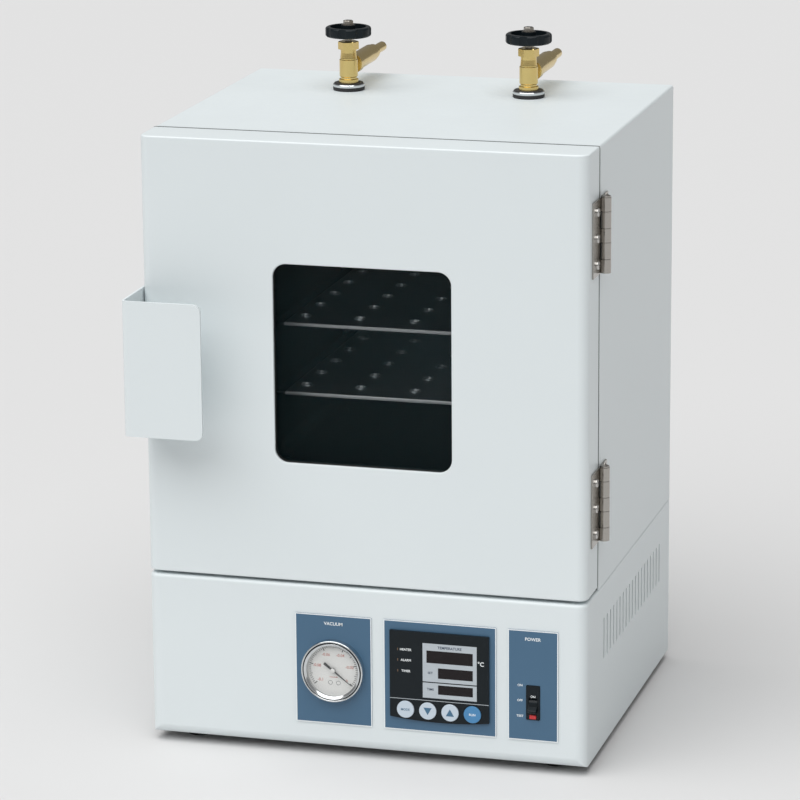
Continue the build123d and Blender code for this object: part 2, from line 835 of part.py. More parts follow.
# ---------------------------------------------------------------- door
def door_skin():
    """The door's pressed outer skin, open behind, with a lipped window."""
    outer = pressed_box(-half_width, half_width, y_front, y_door_back - sheet, z_door, z_top, edge_radius, edge_radius)
    inside = half_width - sheet
    inner = pressed_box(
        -inside, inside, y_front + sheet, y_door_back + deep_over, z_door + sheet, z_top - sheet, edge_radius - sheet, edge_radius - sheet
    )
    skin = outer - inner
    lip = (window_width + 2 * sheet, window_height + 2 * sheet)
    skin += slab(0, z_centre, *lip, window_corner + sheet, y_front, y_front + window_lip_depth)
    skin -= slab(0, z_centre, window_width, window_height, window_corner, y_front - over, y_front + window_lip_depth + over)
    for point in door_leaf_screws():
        skin -= screw_hole(point, (1, 0, 0))
    for point in handle_screws():
        skin -= screw_hole(point, (-1, 0, 0))
    return skin


def door_inner_panel():
    """The plate that closes the door behind, open at the glass."""
    panel = block(-half_width, half_width, y_glass_back, y_door_back, z_door, z_top)
    margin = 2 * (gasket_inset + gasket_width + seal_opening_gap)
    corner = gasket_corner + gasket_inset + seal_opening_gap
    opening = slab(
        0, z_centre, chamber_width + margin, chamber_height + margin, corner, y_glass_back - over, y_door_back + over
    )
    return panel - opening


def window_cover():
    """The clear resin plate behind the window's lip, which guards the glass."""
    y0 = y_front + window_lip_depth
    width, height = window_width + 2 * window_cover_margin, window_height + 2 * window_cover_margin
    return slab(0, z_centre, width, height, window_cover_corner, y0, y0 + window_cover_thickness)


def window_glass():
    """The thick tempered glass that the chamber's gasket closes on."""
    return slab(0, z_centre, glass_width, glass_height, glass_corner, y_glass_front, y_glass_back)


def glass_retainer():
    """The frame that holds the glass against the door's inner panel."""
    pocket = (glass_width + 2 * fit, glass_height + 2 * fit)
    outer = tuple(side + 2 * retainer_wall for side in pocket)
    hidden = 2 * (gasket_inset + gasket_width + glass_sight_margin)
    sight = (glass_width - hidden, glass_height - hidden)
    corners = (retainer_corner, glass_corner)
    frame = ring_slab(0, z_centre, outer, sight, corners, y_glass_front - retainer_lip, y_glass_back)
    return frame - slab(0, z_centre, *pocket, glass_corner, y_glass_front, y_glass_back + over)


def door_handle():
    """The bent steel pull: a tab on the door's side and a wide grip plate in front of it."""
    y0 = y_front - handle_reach
    z1 = handle_z0 + handle_height
    plate = block(handle_side, handle_side + handle_grip_width, y0, y_front + handle_tab, handle_z0, z1)
    hollow = block(handle_side + handle_sheet, half_width, y0 + handle_sheet, y_back, handle_z0 - over, z1 + over)
    bend = plate.edges().filter_by(Axis.Z).sort_by(Axis.X)[:2].sort_by(Axis.Y)[0]
    plate = fillet([bend], handle_bend_radius)
    inner_bend = hollow.edges().filter_by(Axis.Z).sort_by(Axis.X)[:2].sort_by(Axis.Y)[0]
    plate -= fillet([inner_bend], handle_bend_radius - handle_sheet)
    free = plate.edges().filter_by(Axis.Y).sort_by(Axis.X)[-2:]
    plate = fillet(free, handle_corner)
    for point in handle_screws():
        plate -= screw_hole(point, (-1, 0, 0))
    return plate


def door_screws():
    """The screws of the hinge leaves and the handle, on the door."""
    hinge = [screw(point, (1, 0, 0)) for point in door_leaf_screws()]
    return bodies(*hinge, *[screw(point, (-1, 0, 0)) for point in handle_screws()])


# ---------------------------------------------------------------- hinges
def knuckle_spans(level):
    """The five knuckles of one hinge from the bottom up, as (bottom, top, on the door)."""
    case_knuckle = (hinge_length - 3 * hinge_door_knuckle - 4 * hinge_knuckle_gap) / 2
    z = level - hinge_length / 2
    spans = []
    for k in range(5):
        height = case_knuckle if k % 2 else hinge_door_knuckle
        spans.append((z, z + height, k % 2 == 0))
        z += height + hinge_knuckle_gap
    return spans


def hinge_leaf(level, on_door):
    """One leaf: a plate on the side face, wrapped round the pin at its own knuckles."""
    low, high = level - hinge_length / 2, level + hinge_length / 2
    x0, x1 = half_width, half_width + hinge_sheet
    if on_door:
        leaf = block(x0, x1, hinge_y - hinge_door_leaf, hinge_y, low, high)
    else:
        leaf = block(x0, x1, hinge_y, hinge_y + hinge_case_leaf, low, high)
    reach = hinge_barrel_radius + fit
    for z0, z1, door in knuckle_spans(level):
        if door == on_door:
            leaf += rod((hinge_x, hinge_y, z0), (0, 0, 1), z1 - z0, hinge_barrel_radius)
        else:
            pad = hinge_knuckle_gap
            leaf -= block(x0 - over, x1 + 2 * deep_over, hinge_y - reach, hinge_y + reach, z0 - pad, z1 + pad)
    leaf -= rod((hinge_x, hinge_y, low - over), (0, 0, 1), hinge_length + 2 * over, hinge_pin_radius + hinge_pin_clearance)
    for point in door_leaf_screws() if on_door else case_leaf_screws():
        if low < point[2] < high:
            leaf -= screw_hole(point, (1, 0, 0))
    return leaf


def hinge_leaves_case():
    """The cabinet's leaves of both hinges."""
    return bodies(*[hinge_leaf(level, False) for level in hinge_levels])


def hinge_leaves_door():
    """The door's leaves of both hinges."""
    return bodies(*[hinge_leaf(level, True) for level in hinge_levels])


def hinge_pins():
    """The pins of both hinges, with pointed finials on top."""
    pins = []
    for level in hinge_levels:
        low, high = -hinge_length / 2, hinge_length / 2 + fit
        head = hinge_barrel_radius - hinge_head_inset
        profile = [
            (0, low), (hinge_pin_radius, low), (hinge_pin_radius, high), (head, high),
            (head, high + hinge_head_height), (hinge_finial_neck, high + hinge_finial * hinge_finial_share),
            (hinge_finial_tip, high + hinge_finial), (0, high + hinge_finial),
        ]
        pins.append(turned(profile, (hinge_x, hinge_y, level), (0, 0, 1)))
    return bodies(*pins)


# ---------------------------------------------------------------- ports and valves
def port_pipes():
    """The two pipes from the chamber's ports up to the valves."""
    pipes = []
    for side in (-1, 1):
        low = z_chamber_over
        pipe = rod((side * port_x, y_port, low), (0, 0, 1), valve_base - low, pipe_radius)
        bore = rod((side * port_x, y_port, low - over), (0, 0, 1), valve_base - low + 2 * over, pipe_bore_radius)
        pipes.append(pipe - bore)
    return bodies(*pipes)


def port_grommets():
    """The black rubber grommets under the valves' collars, and the thin seals on top of them."""
    r, h, neck, bore = grommet_radius, grommet_height, port_hole_radius - grommet_neck_gap, pipe_radius + pipe_fit
    profile = [
        (bore, -sheet), (neck, -sheet), (neck, 0), (r - grommet_bevel, 0), (r, grommet_bevel), (r, h), (bore, h),
    ]
    inner, outer = valve_foot_radius + grommet_neck_gap, r - seal_inset
    washer = [(inner, 0), (outer, 0), (outer, seal_height), (inner, seal_height)]
    seal_z = z_top + grommet_height + collar_height
    lower = [turned(profile, (side * port_x, y_port, z_top), (0, 0, 1)) for side in (-1, 1)]
    return bodies(*lower, *[turned(washer, (side * port_x, y_port, seal_z), (0, 0, 1)) for side in (-1, 1)])


def port_collars():
    """The pale washers on the grommets, which the valves stand on."""
    r, h = grommet_radius, collar_height
    bore = pipe_radius + pipe_fit
    profile = [(bore, 0), (r, 0), (r, h - grommet_bevel), (r - grommet_bevel, h), (bore, h)]
    place = z_top + grommet_height
    return bodies(*[turned(profile, (side * port_x, y_port, place), (0, 0, 1)) for side in (-1, 1)])


def valve_body(side):
    """One brass valve: a turned column with a branch to the back."""
    x = side * port_x
    foot, r, neck, h = valve_foot_radius, valve_body_radius, valve_neck_radius, valve_body_height
    waist, groove = r - valve_waist_depth, r - valve_groove_depth
    column = [
        (0, 0), (foot, 0), (foot, valve_foot_thickness), (waist, valve_waist_bottom), (waist, valve_waist_top),
        (r, valve_drum_bottom), (r, valve_drum_top), (groove, valve_groove_bottom), (groove, valve_groove_top),
        (neck + valve_shoulder_proud, valve_shoulder_height), (neck, h - valve_neck_straight), (neck, h), (0, h),
    ]
    body = turned(column, (x, y_port, valve_base), (0, 0, 1))
    c, b, length = branch_collar_radius, branch_radius, branch_length
    root = branch_root_radius
    branch = [
        (0, 0), (root, 0), (root, branch_root_length), (c, branch_collar_start), (c, branch_collar_end),
        (b, branch_cone_end), (b, length - branch_bevel), (b - branch_bevel, length), (0, length),
    ]
    z = valve_base + branch_height
    body += turned(branch, (x, y_port, z), (0, 1, 0))
    body -= rod((x, y_port, valve_base + h + over), (0, 0, -1), spindle_bore_depth + over, spindle_radius + running_fit)
    body -= rod((x, y_port, valve_base - over), (0, 0, 1), valve_inlet_depth + over, pipe_bore_radius)
    bore = length + over - branch_root_length
    return body - rod((x, y_port + length + over, z), (0, -1, 0), bore, nozzle_bore_radius)


def valve_bodies():
    """The brass bodies of the exhaust valve on the left and the vent valve on the right."""
    return bodies(valve_body(-1), valve_body(1))


def bonnet_nuts():
    """The hexagonal gland nuts on top of the valve bodies."""
    nuts = []
    for side in (-1, 1):
        place = Plane(origin=(side * port_x, y_port, valve_base + valve_body_height))
        hexagon = place * RegularPolygon(bonnet_across_flats / 2, 6, major_radius=False, rotation=bonnet_turn)
        nut = chamfer(extrude(hexagon, bonnet_height).faces().sort_by(Axis.Z)[-1].edges(), bonnet_chamfer)
        bore = spindle_radius + running_fit
        start = tuple(place.origin - Vector(0, 0, over))
        nuts.append(nut - rod(start, (0, 0, 1), bonnet_height + 2 * over, bore))
    return bodies(*nuts)


def hose_nozzles():
    """The nozzles on the branches, each a nut with a plain tube for a hose."""
    z = valve_base + branch_height
    r, b, nut, length = nozzle_radius, nozzle_bore_radius, nozzle_nut_length, nozzle_length
    side_radius, bevel = branch_radius - nozzle_nut_inset, nozzle_nut_bevel
    profile = [
        (b, 0), (side_radius, 0), (side_radius, nut - bevel), (r + bevel, nut), (r, nut), (r, length), (b, length),
    ]
    place = y_port + branch_length
    return bodies(*[turned(profile, (side * port_x, place, z), (0, 1, 0)) for side in (-1, 1)])


def spindle(side):
    """A valve's spindle with the nut that holds its handwheel."""
    bonnet_top = valve_body_height + bonnet_height
    low, seat = valve_body_height - spindle_depth, bonnet_top + wheel_lift_gap
    grip = spindle_radius - spindle_step
    top = seat + wheel_rim_height + wheel_hub_rise
    washer_top, nut_top, nut = top + wheel_washer_thickness, top + wheel_nut_height, wheel_nut_across_flats / 2
    profile = [
        (0, low), (spindle_radius, low), (spindle_radius, seat), (grip, seat), (grip, top), (wheel_washer_radius, top),
        (wheel_washer_radius, washer_top), (nut, washer_top), (nut, nut_top), (0, nut_top),
    ]
    return turned(profile, (side * port_x, y_port, valve_base), (0, 0, 1))


def handwheel(side):
    """A black handwheel: a lobed rim, four spokes' openings and a raised hub."""
    z = valve_base + valve_body_height + bonnet_height + wheel_lift_gap
    place = Plane(origin=(side * port_x, y_port, z))
    rim = extrude(place * Circle(wheel_radius), wheel_rim_height)
    rim = fillet(rim.edges(), wheel_rim_round)
    x0, y0 = place.origin.X, place.origin.Y
    through = wheel_rim_height + 2 * over
    for k in range(wheel_lobes):
        angle = 2 * pi * k / wheel_lobes
        reach = wheel_radius + wheel_lobe_offset
        x, y = x0 + reach * cos(angle), y0 + reach * sin(angle)
        rim -= rod((x, y, z - over), (0, 0, 1), through, wheel_lobe_radius)
    rim -= rod((x0, y0, z + wheel_web), (0, 0, 1), wheel_rim_height, wheel_radius - wheel_rim_wall)
    for k in range(wheel_openings):
        angle = 2 * pi * (k + 0.5) / wheel_openings
        x, y = x0 + wheel_opening_reach * cos(angle), y0 + wheel_opening_reach * sin(angle)
        rim -= rod((x, y, z - over), (0, 0, 1), through, wheel_opening_radius)
    hub_height = wheel_rim_height + wheel_hub_rise
    rim += rod((x0, y0, z), (0, 0, 1), hub_height, wheel_hub_radius - wheel_hub_inset)
    bore = spindle_radius - spindle_step + running_fit
    return rim - rod((x0, y0, z - over), (0, 0, 1), hub_height + 2 * over, bore)


# ---------------------------------------------------------------- vacuum gauge
def gauge_case():
    """The gauge's steel cup behind the panel, with its rear connection."""
    r, wall, depth = gauge_case_radius, gauge_case_wall, gauge_case_depth
    stem_end = depth + gauge_stem_length
    profile = [
        (0, depth - wall), (r - wall, depth - wall), (r - wall, 0), (r, 0), (r, depth),
        (gauge_stem_radius, depth), (gauge_stem_radius, stem_end), (0, stem_end),
    ]
    cup = turned(profile, (gauge_x, y_panel_face, z_gauge), (0, 1, 0))
    start = (gauge_x, y_gauge_back + gauge_stem_length + over, z_gauge)
    return cup - rod(start, (0, -1, 0), gauge_stem_length, gauge_tube_radius + running_fit)


def gauge_bezel():
    """The bright ring round the dial: a round rim, a narrow groove, and an inner ring over the lens's edge."""
    r, seat, depth = gauge_bezel_radius, gauge_dial_radius, gauge_bezel_depth
    inner = r - gauge_bezel_rim
    step, floor = inner - gauge_bezel_groove, gauge_groove_depth - depth
    lens_front = depth - gauge_lens_inset
    profile = [
        (seat, 0), (r, 0), *[(r - inward, back - depth) for inward, back in gauge_bezel_crown], (inner, -depth),
        (inner, floor), (step, floor), *[(step - inward, back - depth) for inward, back in gauge_sight_round],
        (gauge_bezel_sight + gauge_sight_bevel, -lens_front - gauge_sight_bevel), (gauge_bezel_sight, -lens_front),
        (seat, -lens_front),
    ]
    return turned(profile, (gauge_x, y_panel_face, z_gauge), (0, 1, 0))


def gauge_dial():
    """The white dial plate, with the hole for the pointer's arbor."""
    front, thick = y_panel_face - gauge_dial_thickness, gauge_dial_thickness
    plate = rod((gauge_x, front, z_gauge), (0, 1, 0), thick, gauge_dial_radius - running_fit)
    return plate - rod((gauge_x, front - over, z_gauge), (0, 1, 0), thick + 2 * over, gauge_arbor_hole)


def gauge_lens():
    """The flat glass in front of the dial."""
    y0 = y_panel_face - gauge_bezel_depth + gauge_lens_inset
    return rod((gauge_x, y0, z_gauge), (0, 1, 0), gauge_lens_thickness, gauge_dial_radius - running_fit)


def gauge_pointer():
    """The pointer with its tail, its boss and its arbor."""
    y0 = y_panel_face - pointer_standoff
    stations = (pointer_length, pointer_waist, -pointer_waist, -pointer_tail)
    face = Plane(origin=(gauge_x, y0 + pointer_thickness, z_gauge), x_dir=(1, 0, 0), z_dir=(0, -1, 0))
    upper = list(zip(stations, pointer_half_widths))
    lower = [(along, -half) for along, half in reversed(upper)]
    needle = make_face(Polyline(*upper, *lower, close=True))
    blade = extrude(face * Rot(0, 0, pointer_angle) * needle, pointer_thickness)
    blade += rod((gauge_x, y0 - pointer_boss_proud, z_gauge), (0, 1, 0), pointer_boss_length, pointer_boss_radius)
    return blade + rod((gauge_x, y0, z_gauge), (0, 1, 0), pointer_arbor_length, pointer_arbor_radius)


def gauge_tube():
    """The steel tube from the gauge to the chamber's floor port."""
    start = y_gauge_back + gauge_tube_entry
    first, second = gauge_tube_turn_y
    points = [
        (gauge_x, start, z_gauge), (gauge_x, first, z_gauge), (gauge_tube_port_x, second, z_gauge),
        (gauge_tube_port_x, gauge_tube_port_y, z_gauge), (gauge_tube_port_x, gauge_tube_port_y, z_chamber_under),
    ]
    path = FilletPolyline(*points, radius=gauge_tube_bend)
    section = Plane(origin=points[0], z_dir=(0, 1, 0)) * Circle(gauge_tube_radius)
    return sweep(section, path=path)


# ---------------------------------------------------------------- control panel
def panel_plate(span):
    """One printed plate on the base's front."""
    z = z_base + panel_bottom + panel_height / 2
    return slab(sum(span) / 2, z, span[1] - span[0], panel_height, panel_corner, y_panel_face, y_front)


def gauge_panel():
    """The plate round the gauge."""
    hole = rod((gauge_x, y_front - deep_over, z_gauge), (0, 1, 0), 2 * deep_over, gauge_case_radius + fit)
    return panel_plate(gauge_panel_x) - hole


def controller_panel():
    """The plate round the controller."""
    return panel_plate(controller_panel_x) - controller_cutout(y_front - deep_over, y_front + deep_over)


def switch_panel():
    """The plate round the breaker."""
    return panel_plate(switch_panel_x) - breaker_cutout(y_front - deep_over, y_front + deep_over)


def key_x(index):
    """Where a key stands across the panel."""
    return key_first_x + index * key_pitch


def display_slab(index, y0, y1, grow):
    """The outline of one display window, grown by a margin."""
    (x0, x1), (z0, z1) = display_columns[index], display_rows[index]
    width, height = x1 - x0 + 2 * grow, z1 - z0 + 2 * grow
    return slab((x0 + x1) / 2, z_base + (z0 + z1) / 2, width, height, display_corner, y0, y1)


def controller_face():
    """The controller's front, with a bowed lower edge, key holes and display pockets."""
    half = controller_width / 2
    top = controller_z + controller_height / 2
    low = controller_z - controller_height / 2
    x0, x1 = controller_x - half, controller_x + half
    place = Plane(origin=(0, y_panel_face, 0), x_dir=(1, 0, 0), z_dir=(0, -1, 0))
    corner = low + controller_bow
    bow = ThreePointArc((x0, corner), (controller_x, low), (x1, corner))
    sides = Polyline((x0, corner), (x0, top), (x1, top), (x1, corner))
    face = extrude(place * make_face([bow, sides]), controller_thickness)
    for index in range(4):
        start = (key_x(index), y_face_front - deep_over, z_base + key_height)
        face -= rod(start, (0, 1, 0), 3 * deep_over, key_radius + key_clearance)
    for index in range(3):
        face -= display_slab(index, y_face_front - over, y_face_front + display_depth, 0)
    return face


def controller_case():
    """The controller's housing behind its front, through the cut-outs of the panel and the base."""
    width = controller_width - 2 * controller_rim - 2 * fit
    height = controller_height - controller_rim - controller_sill - 2 * fit
    y1 = y_panel_face + controller_case_depth
    return slab(controller_x, controller_cut_z, width, height, cut_corner, y_panel_face, y1)


def display_windows():
    """The three tinted display windows in the controller's front."""
    y0, y1 = y_face_front + display_window_recess, y_face_front + display_depth
    return bodies(*[display_slab(index, y0, y1, -display_window_gap) for index in range(3)])


def key(index):
    """A round key cap in its hole in the front, clear of the panel behind it by more than its travel."""
    x, z = key_x(index), z_base + key_height
    cap = rod((x, y_face_front - key_proud, z), (0, 1, 0), key_thickness, key_radius)
    return fillet(cap.faces().sort_by(Axis.Y)[0].edges(), key_round)


def breaker_body():
    """The breaker's body behind the panel, with its nose through the cut-out."""
    z, x = breaker_z, breaker_x
    y0 = y_front + sheet
    back = slab(x, z, breaker_width, breaker_body_height, cut_corner, y0, y0 + breaker_body_depth)
    nose_front = y_panel_face - breaker_nose_proud
    nose = slab(x, z, breaker_nose_width, breaker_nose_height, breaker_nose_corner, nose_front, y0)
    body = back + nose
    half = lever_width / 2 + lever_gap
    drum = lever_drum_radius + fit
    body -= rod((x - half, lever_y, lever_z), (1, 0, 0), 2 * half, drum)
    body -= block(x - half, x + half, nose_front - over, lever_y, lever_z - drum, lever_z + drum)
    width, height = test_button_width + 2 * test_button_gap, test_button_height + 2 * test_button_gap
    depth = y_front + test_button_depth + test_button_travel + fit
    return body - slab(x, test_button_z, width, height, test_button_well_corner, nose_front - over, depth)


def breaker_lever():
    """The breaker's lever: a drum with a rounded tip, resting low at off."""
    drum = rod((breaker_x - lever_width / 2, lever_y, lever_z), (1, 0, 0), lever_width, lever_drum_radius)
    reach = lever_drum_radius + lever_reach
    tip = block(-lever_width / 2, lever_width / 2, -reach, 0, -lever_tip / 2, lever_tip / 2)
    tip = fillet(tip.faces().sort_by(Axis.Y)[0].edges(), lever_tip_round)
    turn = Pos(breaker_x, lever_y, lever_z) * Rot(lever_swing / 2, 0, 0)
    return drum + turn * tip


def test_button():
    """The breaker's small test button."""
    y0, y1 = y_panel_face - breaker_nose_proud - test_button_proud, y_front + test_button_depth
    button = slab(breaker_x, test_button_z, test_button_width, test_button_height, test_button_corner, y0, y1)
    return fillet(button.faces().sort_by(Axis.Y)[0].edges(), test_button_round)


# ---------------------------------------------------------------- inside the base and at the back
def relay_heatsink():
    """The finned aluminium block that carries the heater relay, on the bottom plate."""
    x0, x1 = heatsink_x
    y0, y1 = heatsink_y
    z0 = z_base + sheet
    body = block(x0, x1, y0, y1, z0, z0 + heatsink_foot)
    pitch = (x1 - x0 - heatsink_fin) / (heatsink_fins - 1)
    for k in range(heatsink_fins):
        x = x0 + k * pitch
        body += block(x, x + heatsink_fin, y0, y1, z0 + 1, z0 + heatsink_height - 1)
    return body + block(x0, x1, y0, y1, z0 + heatsink_height - heatsink_plate, z0 + heatsink_height)


def heater_relay():
    """The solid-state relay on the heat sink, with a recess across it for its terminals."""
    x, y = sum(heatsink_x) / 2, sum(heatsink_y) / 2
    z0 = z_base + sheet + heatsink_height
    half, length, height = relay_width / 2, relay_length / 2, relay_height
    relay = block(x - half, x + half, y - length, y + length, z0, z0 + height)
    for side in (-1, 1):
        y0, y1 = sorted((y + side * (length + over), y + side * (length - relay_step)))
        relay -= block(x - half - over, x + half + over, y0, y1, z0 + height * relay_recess_share, z0 + height + over)
    return relay


def power_inlet():
    """The mains inlet in the base's back cover, with its flange and its three pins."""
    x, z = inlet_x, z_base + inlet_height
    y0 = y_back - inlet_depth
    body = slab(x, z, inlet_width, inlet_tall, inlet_corner, y0, y_back)
    flange = (inlet_width + 2 * inlet_flange, inlet_tall + inlet_flange_rise)
    y_flange_face = y_back + inlet_flange_thickness
    body += slab(x, z, *flange, inlet_flange_corner, y_back, y_flange_face)
    inside = (inlet_width - 2 * inlet_wall, inlet_tall - 2 * inlet_wall)
    body -= slab(x, z, *inside, inlet_corner, y0 + inlet_wall, y_flange_face + over)
    half, tip = inlet_pin / 2, y_back - inlet_pin_setback
    for dx, dz in inlet_pin_places:
        px, pz = x + dx, z + dz
        body += block(px - half, px + half, y0 + inlet_wall, tip, pz - inlet_pin, pz + inlet_pin)
    return body


NODES = {
    "outer_case": outer_case,
    "front_frame": front_frame,
    "cabinet_back_cover": cabinet_back_cover,
    "cabinet_floor_panel": cabinet_floor_panel,
    "base_case": base_case,
    "base_back_cover": base_back_cover,
    "base_floor_plate": base_floor_plate,
    "rubber_feet": rubber_feet,
    "case_screws": case_screws,
    "vacuum_chamber": vacuum_chamber,
    "chamber_gasket": chamber_gasket,
    "chamber_heaters": chamber_heaters,
    "insulation_blanket": insulation_blanket,
    "chamber_stays": chamber_stays,
    "temperature_sensor": temperature_sensor,
    "shelf_racks": shelf_racks,
    "lower_shelf": lambda: shelf(shelf_levels[0]),
    "upper_shelf": lambda: shelf(shelf_levels[1]),
    "door_skin": door_skin,
    "door_inner_panel": door_inner_panel,
    "window_cover": window_cover,
    "window_glass": window_glass,
    "glass_retainer": glass_retainer,
    "door_handle": door_handle,
    "door_screws": door_screws,
    "hinge_leaves_door": hinge_leaves_door,
    "hinge_leaves_case": hinge_leaves_case,
    "hinge_pins": hinge_pins,
    "port_pipes": port_pipes,
    "port_grommets": port_grommets,
    "port_collars": port_collars,
    "valve_bodies": valve_bodies,
    "bonnet_nuts": bonnet_nuts,
    "hose_nozzles": hose_nozzles,
    "exhaust_spindle": lambda: spindle(-1),
    "vent_spindle": lambda: spindle(1),
    "exhaust_handwheel": lambda: handwheel(-1),
    "vent_handwheel": lambda: handwheel(1),
    "gauge_case": gauge_case,
    "gauge_bezel": gauge_bezel,
    "gauge_dial": gauge_dial,
    "gauge_lens": gauge_lens,
    "gauge_pointer": gauge_pointer,
    "gauge_tube": gauge_tube,
    "gauge_panel": gauge_panel,
    "controller_panel": controller_panel,
    "switch_panel": switch_panel,
    "controller_face": controller_face,
    "controller_case": controller_case,
    "display_windows": display_windows,
    "mode_key": lambda: key(0),
    "down_key": lambda: key(1),
    "up_key": lambda: key(2),
    "run_key": lambda: key(3),
    "breaker_body": breaker_body,
    "breaker_lever": breaker_lever,
    "test_button": test_button,
    "relay_heatsink": relay_heatsink,
    "heater_relay": heater_relay,
    "power_inlet": power_inlet,
}

os.makedirs("parts", exist_ok=True)
for name, make in NODES.items():
    export_step(make(), f"parts/{name}.step")
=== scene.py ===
"""Finishes, printed marks and fine fittings of a bench vacuum oven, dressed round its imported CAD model."""

import json
import math

import bmesh
import bpy
import numpy as np
from bpy.props import FloatProperty, FloatVectorProperty, PointerProperty
from bpy.types import Operator, Panel, PropertyGroup
from mathutils import Matrix, Vector


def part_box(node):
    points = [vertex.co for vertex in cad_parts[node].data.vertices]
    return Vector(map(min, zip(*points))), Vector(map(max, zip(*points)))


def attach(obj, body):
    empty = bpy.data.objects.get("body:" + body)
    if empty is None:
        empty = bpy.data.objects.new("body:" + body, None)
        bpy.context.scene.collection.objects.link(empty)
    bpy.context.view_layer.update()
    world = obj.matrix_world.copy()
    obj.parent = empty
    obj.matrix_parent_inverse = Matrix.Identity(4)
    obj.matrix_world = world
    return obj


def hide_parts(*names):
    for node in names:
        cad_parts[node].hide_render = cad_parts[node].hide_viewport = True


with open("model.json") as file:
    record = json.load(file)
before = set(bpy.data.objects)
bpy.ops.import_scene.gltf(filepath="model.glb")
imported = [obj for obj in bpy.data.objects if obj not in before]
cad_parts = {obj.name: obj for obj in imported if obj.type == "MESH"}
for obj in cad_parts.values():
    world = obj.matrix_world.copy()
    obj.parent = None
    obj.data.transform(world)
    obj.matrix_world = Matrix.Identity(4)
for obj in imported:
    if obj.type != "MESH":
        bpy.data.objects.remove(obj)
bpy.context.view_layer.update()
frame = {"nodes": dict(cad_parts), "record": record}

bl_info = {
    "name": "Vacuum Oven Finishes",
    "version": (1, 0, 0),
    "blender": (4, 5, 0),
    "location": "View3D > Sidebar > Oven",
    "description": "Dresses a packed bench vacuum oven with its finishes, printed marks and small fittings",
    "category": "Object",
}

MM = 0.001
WELD = 1e-6
SHARP_EDGE = math.radians(32)

# the stage
KEY_LIGHT_FROM = (-0.12, -0.40, 0.91)
CAMERA_PLACE = (0.933616, -3.374504, 1.19687)
CAMERA_AZIMUTH = math.radians(15.705)
CAMERA_ELEVATION = math.radians(14.59)
CAMERA_ROLL = math.radians(-0.45)
SENSOR_WIDTH = 36.0

# how fine the turned, rounded and folded surfaces are
SMALL_TURN = 36
CAP_TURN = 48
BEZEL_TURN = 144
CORNER_POINTS = 6
CROWN_POINTS = 9
SHELL_SIDE_POINTS = 24
SHELL_BEND_POINTS = 9
SHELL_LIP_POINTS = 7
SHELL_FOLD_POINTS = 5
SMALLEST_CORNER = 0.05 * MM

# the gauge's dial and pointer
DIAL_FIRST = math.radians(-38.0)
DIAL_LAST = math.radians(218.0)
DIAL_SPANS = 5
DIAL_SPAN_TICKS = 10
DIAL_SPAN_VALUE = 0.02
HALF_TICK_SHARE = 0.8
THIN_TICK_SHARE = 0.6
DIAL_RINGS = ((-2.8 * MM, -11.8 * MM), (4.5 * MM, -11.8 * MM))
DIAL_RING_RADIUS = 2.0 * MM
DIAL_RING_LINE = 0.35 * MM
DIAL_UNIT_BELOW = -6.6 * MM
DIAL_UNIT_HEIGHT = 1.3 * MM
CAP_EDGE = 0.25 * MM
CAP_SHOULDER = 0.45 * MM
CAP_CROWN = 0.5 * MM
CAP_SHOULDER_SHARE = 0.75

# the gauge's bezel
BEZEL_BEHIND = 0.2 * MM
BEZEL_GROOVE_DEEP = 1.5 * MM
BEZEL_LENS_DEEP = 1.2 * MM
BEZEL_STEP_DEEP = 0.4 * MM
BEZEL_STEP_BEVEL = 0.15 * MM
BEZEL_STEP_FLAT = 0.5 * MM
BEZEL_SLOPE_FOOT = 0.6 * MM
LENS_CLEARANCE = 0.05 * MM
GROOVE_CLEARANCE = 0.01 * MM
GROOVE_FILL = 0.9 * MM

# the plates' outlines and words
PLATE_CORNER = 0.8 * MM
TITLE_BELOW_EDGE = 8.0 * MM
SWITCH_WORDS_LEFT = 11.8 * MM
SWITCH_ON_ABOVE = 15.5 * MM
SWITCH_OFF_ABOVE = 1.5 * MM
SWITCH_MARK_ABOVE = 5.8 * MM

# the controller's front
SURROUND_SIDE = 3.5 * MM
SURROUND_TOP = 6.6 * MM
SURROUND_FOOT = 3.7 * MM
SURROUND_SPLIT_Z = 10.8 * MM
SURROUND_GAP = 1.0 * MM
SURROUND_PROUD = 0.2 * MM
SURROUND_TITLE_SHARE = 1.15
SMALL_WINDOW_INSET = 10.4 * MM
TALL_WINDOW_Z = (28.6 * MM, 40.0 * MM)
MIDDLE_WINDOW_Z = (14.7 * MM, 24.3 * MM)
LOW_WINDOW_TALL = 8.6 * MM
LAMP_INSET = 7.4 * MM
LAMP_LEVELS = (-0.7 * MM, -10.4 * MM, -20.4 * MM)
LAMP_WIDTH = 0.7 * MM
LAMP_HEIGHT = 2.2 * MM
LAMP_WORD_GAP = 7.4 * MM
UNIT_RIGHT = 7.2 * MM
UNIT_BELOW = 8.8 * MM
UNIT_HEIGHT = 4.2 * MM
DIVIDER_ABOVE_KEYS = 9.7 * MM
DIVIDER_WIDTH = 0.5 * MM
KEY_TRIANGLE = 7.4 * MM
TRIANGLE_FOOT_SHARE = 0.85
TRIANGLE_TIP_SHARE = 0.95

# nuts and screws
NUT_SIDES = 6
NUT_HEIGHT = 4.2 * MM
NUT_PROUD = 0.15 * MM
NUT_BORE = 2.0 * MM
NUT_BEVEL = 0.5 * MM
DOOR_LEAF_SCREW = 12.0 * MM
CASE_LEAF_SCREW = 8.84 * MM
HANDLE_SCREW_SHARE = 0.34
HANDLE_SCREW_BACK = 22.1 * MM
RECESS_PROUD = 0.03 * MM
LETTER_WEIGHT = 0.016

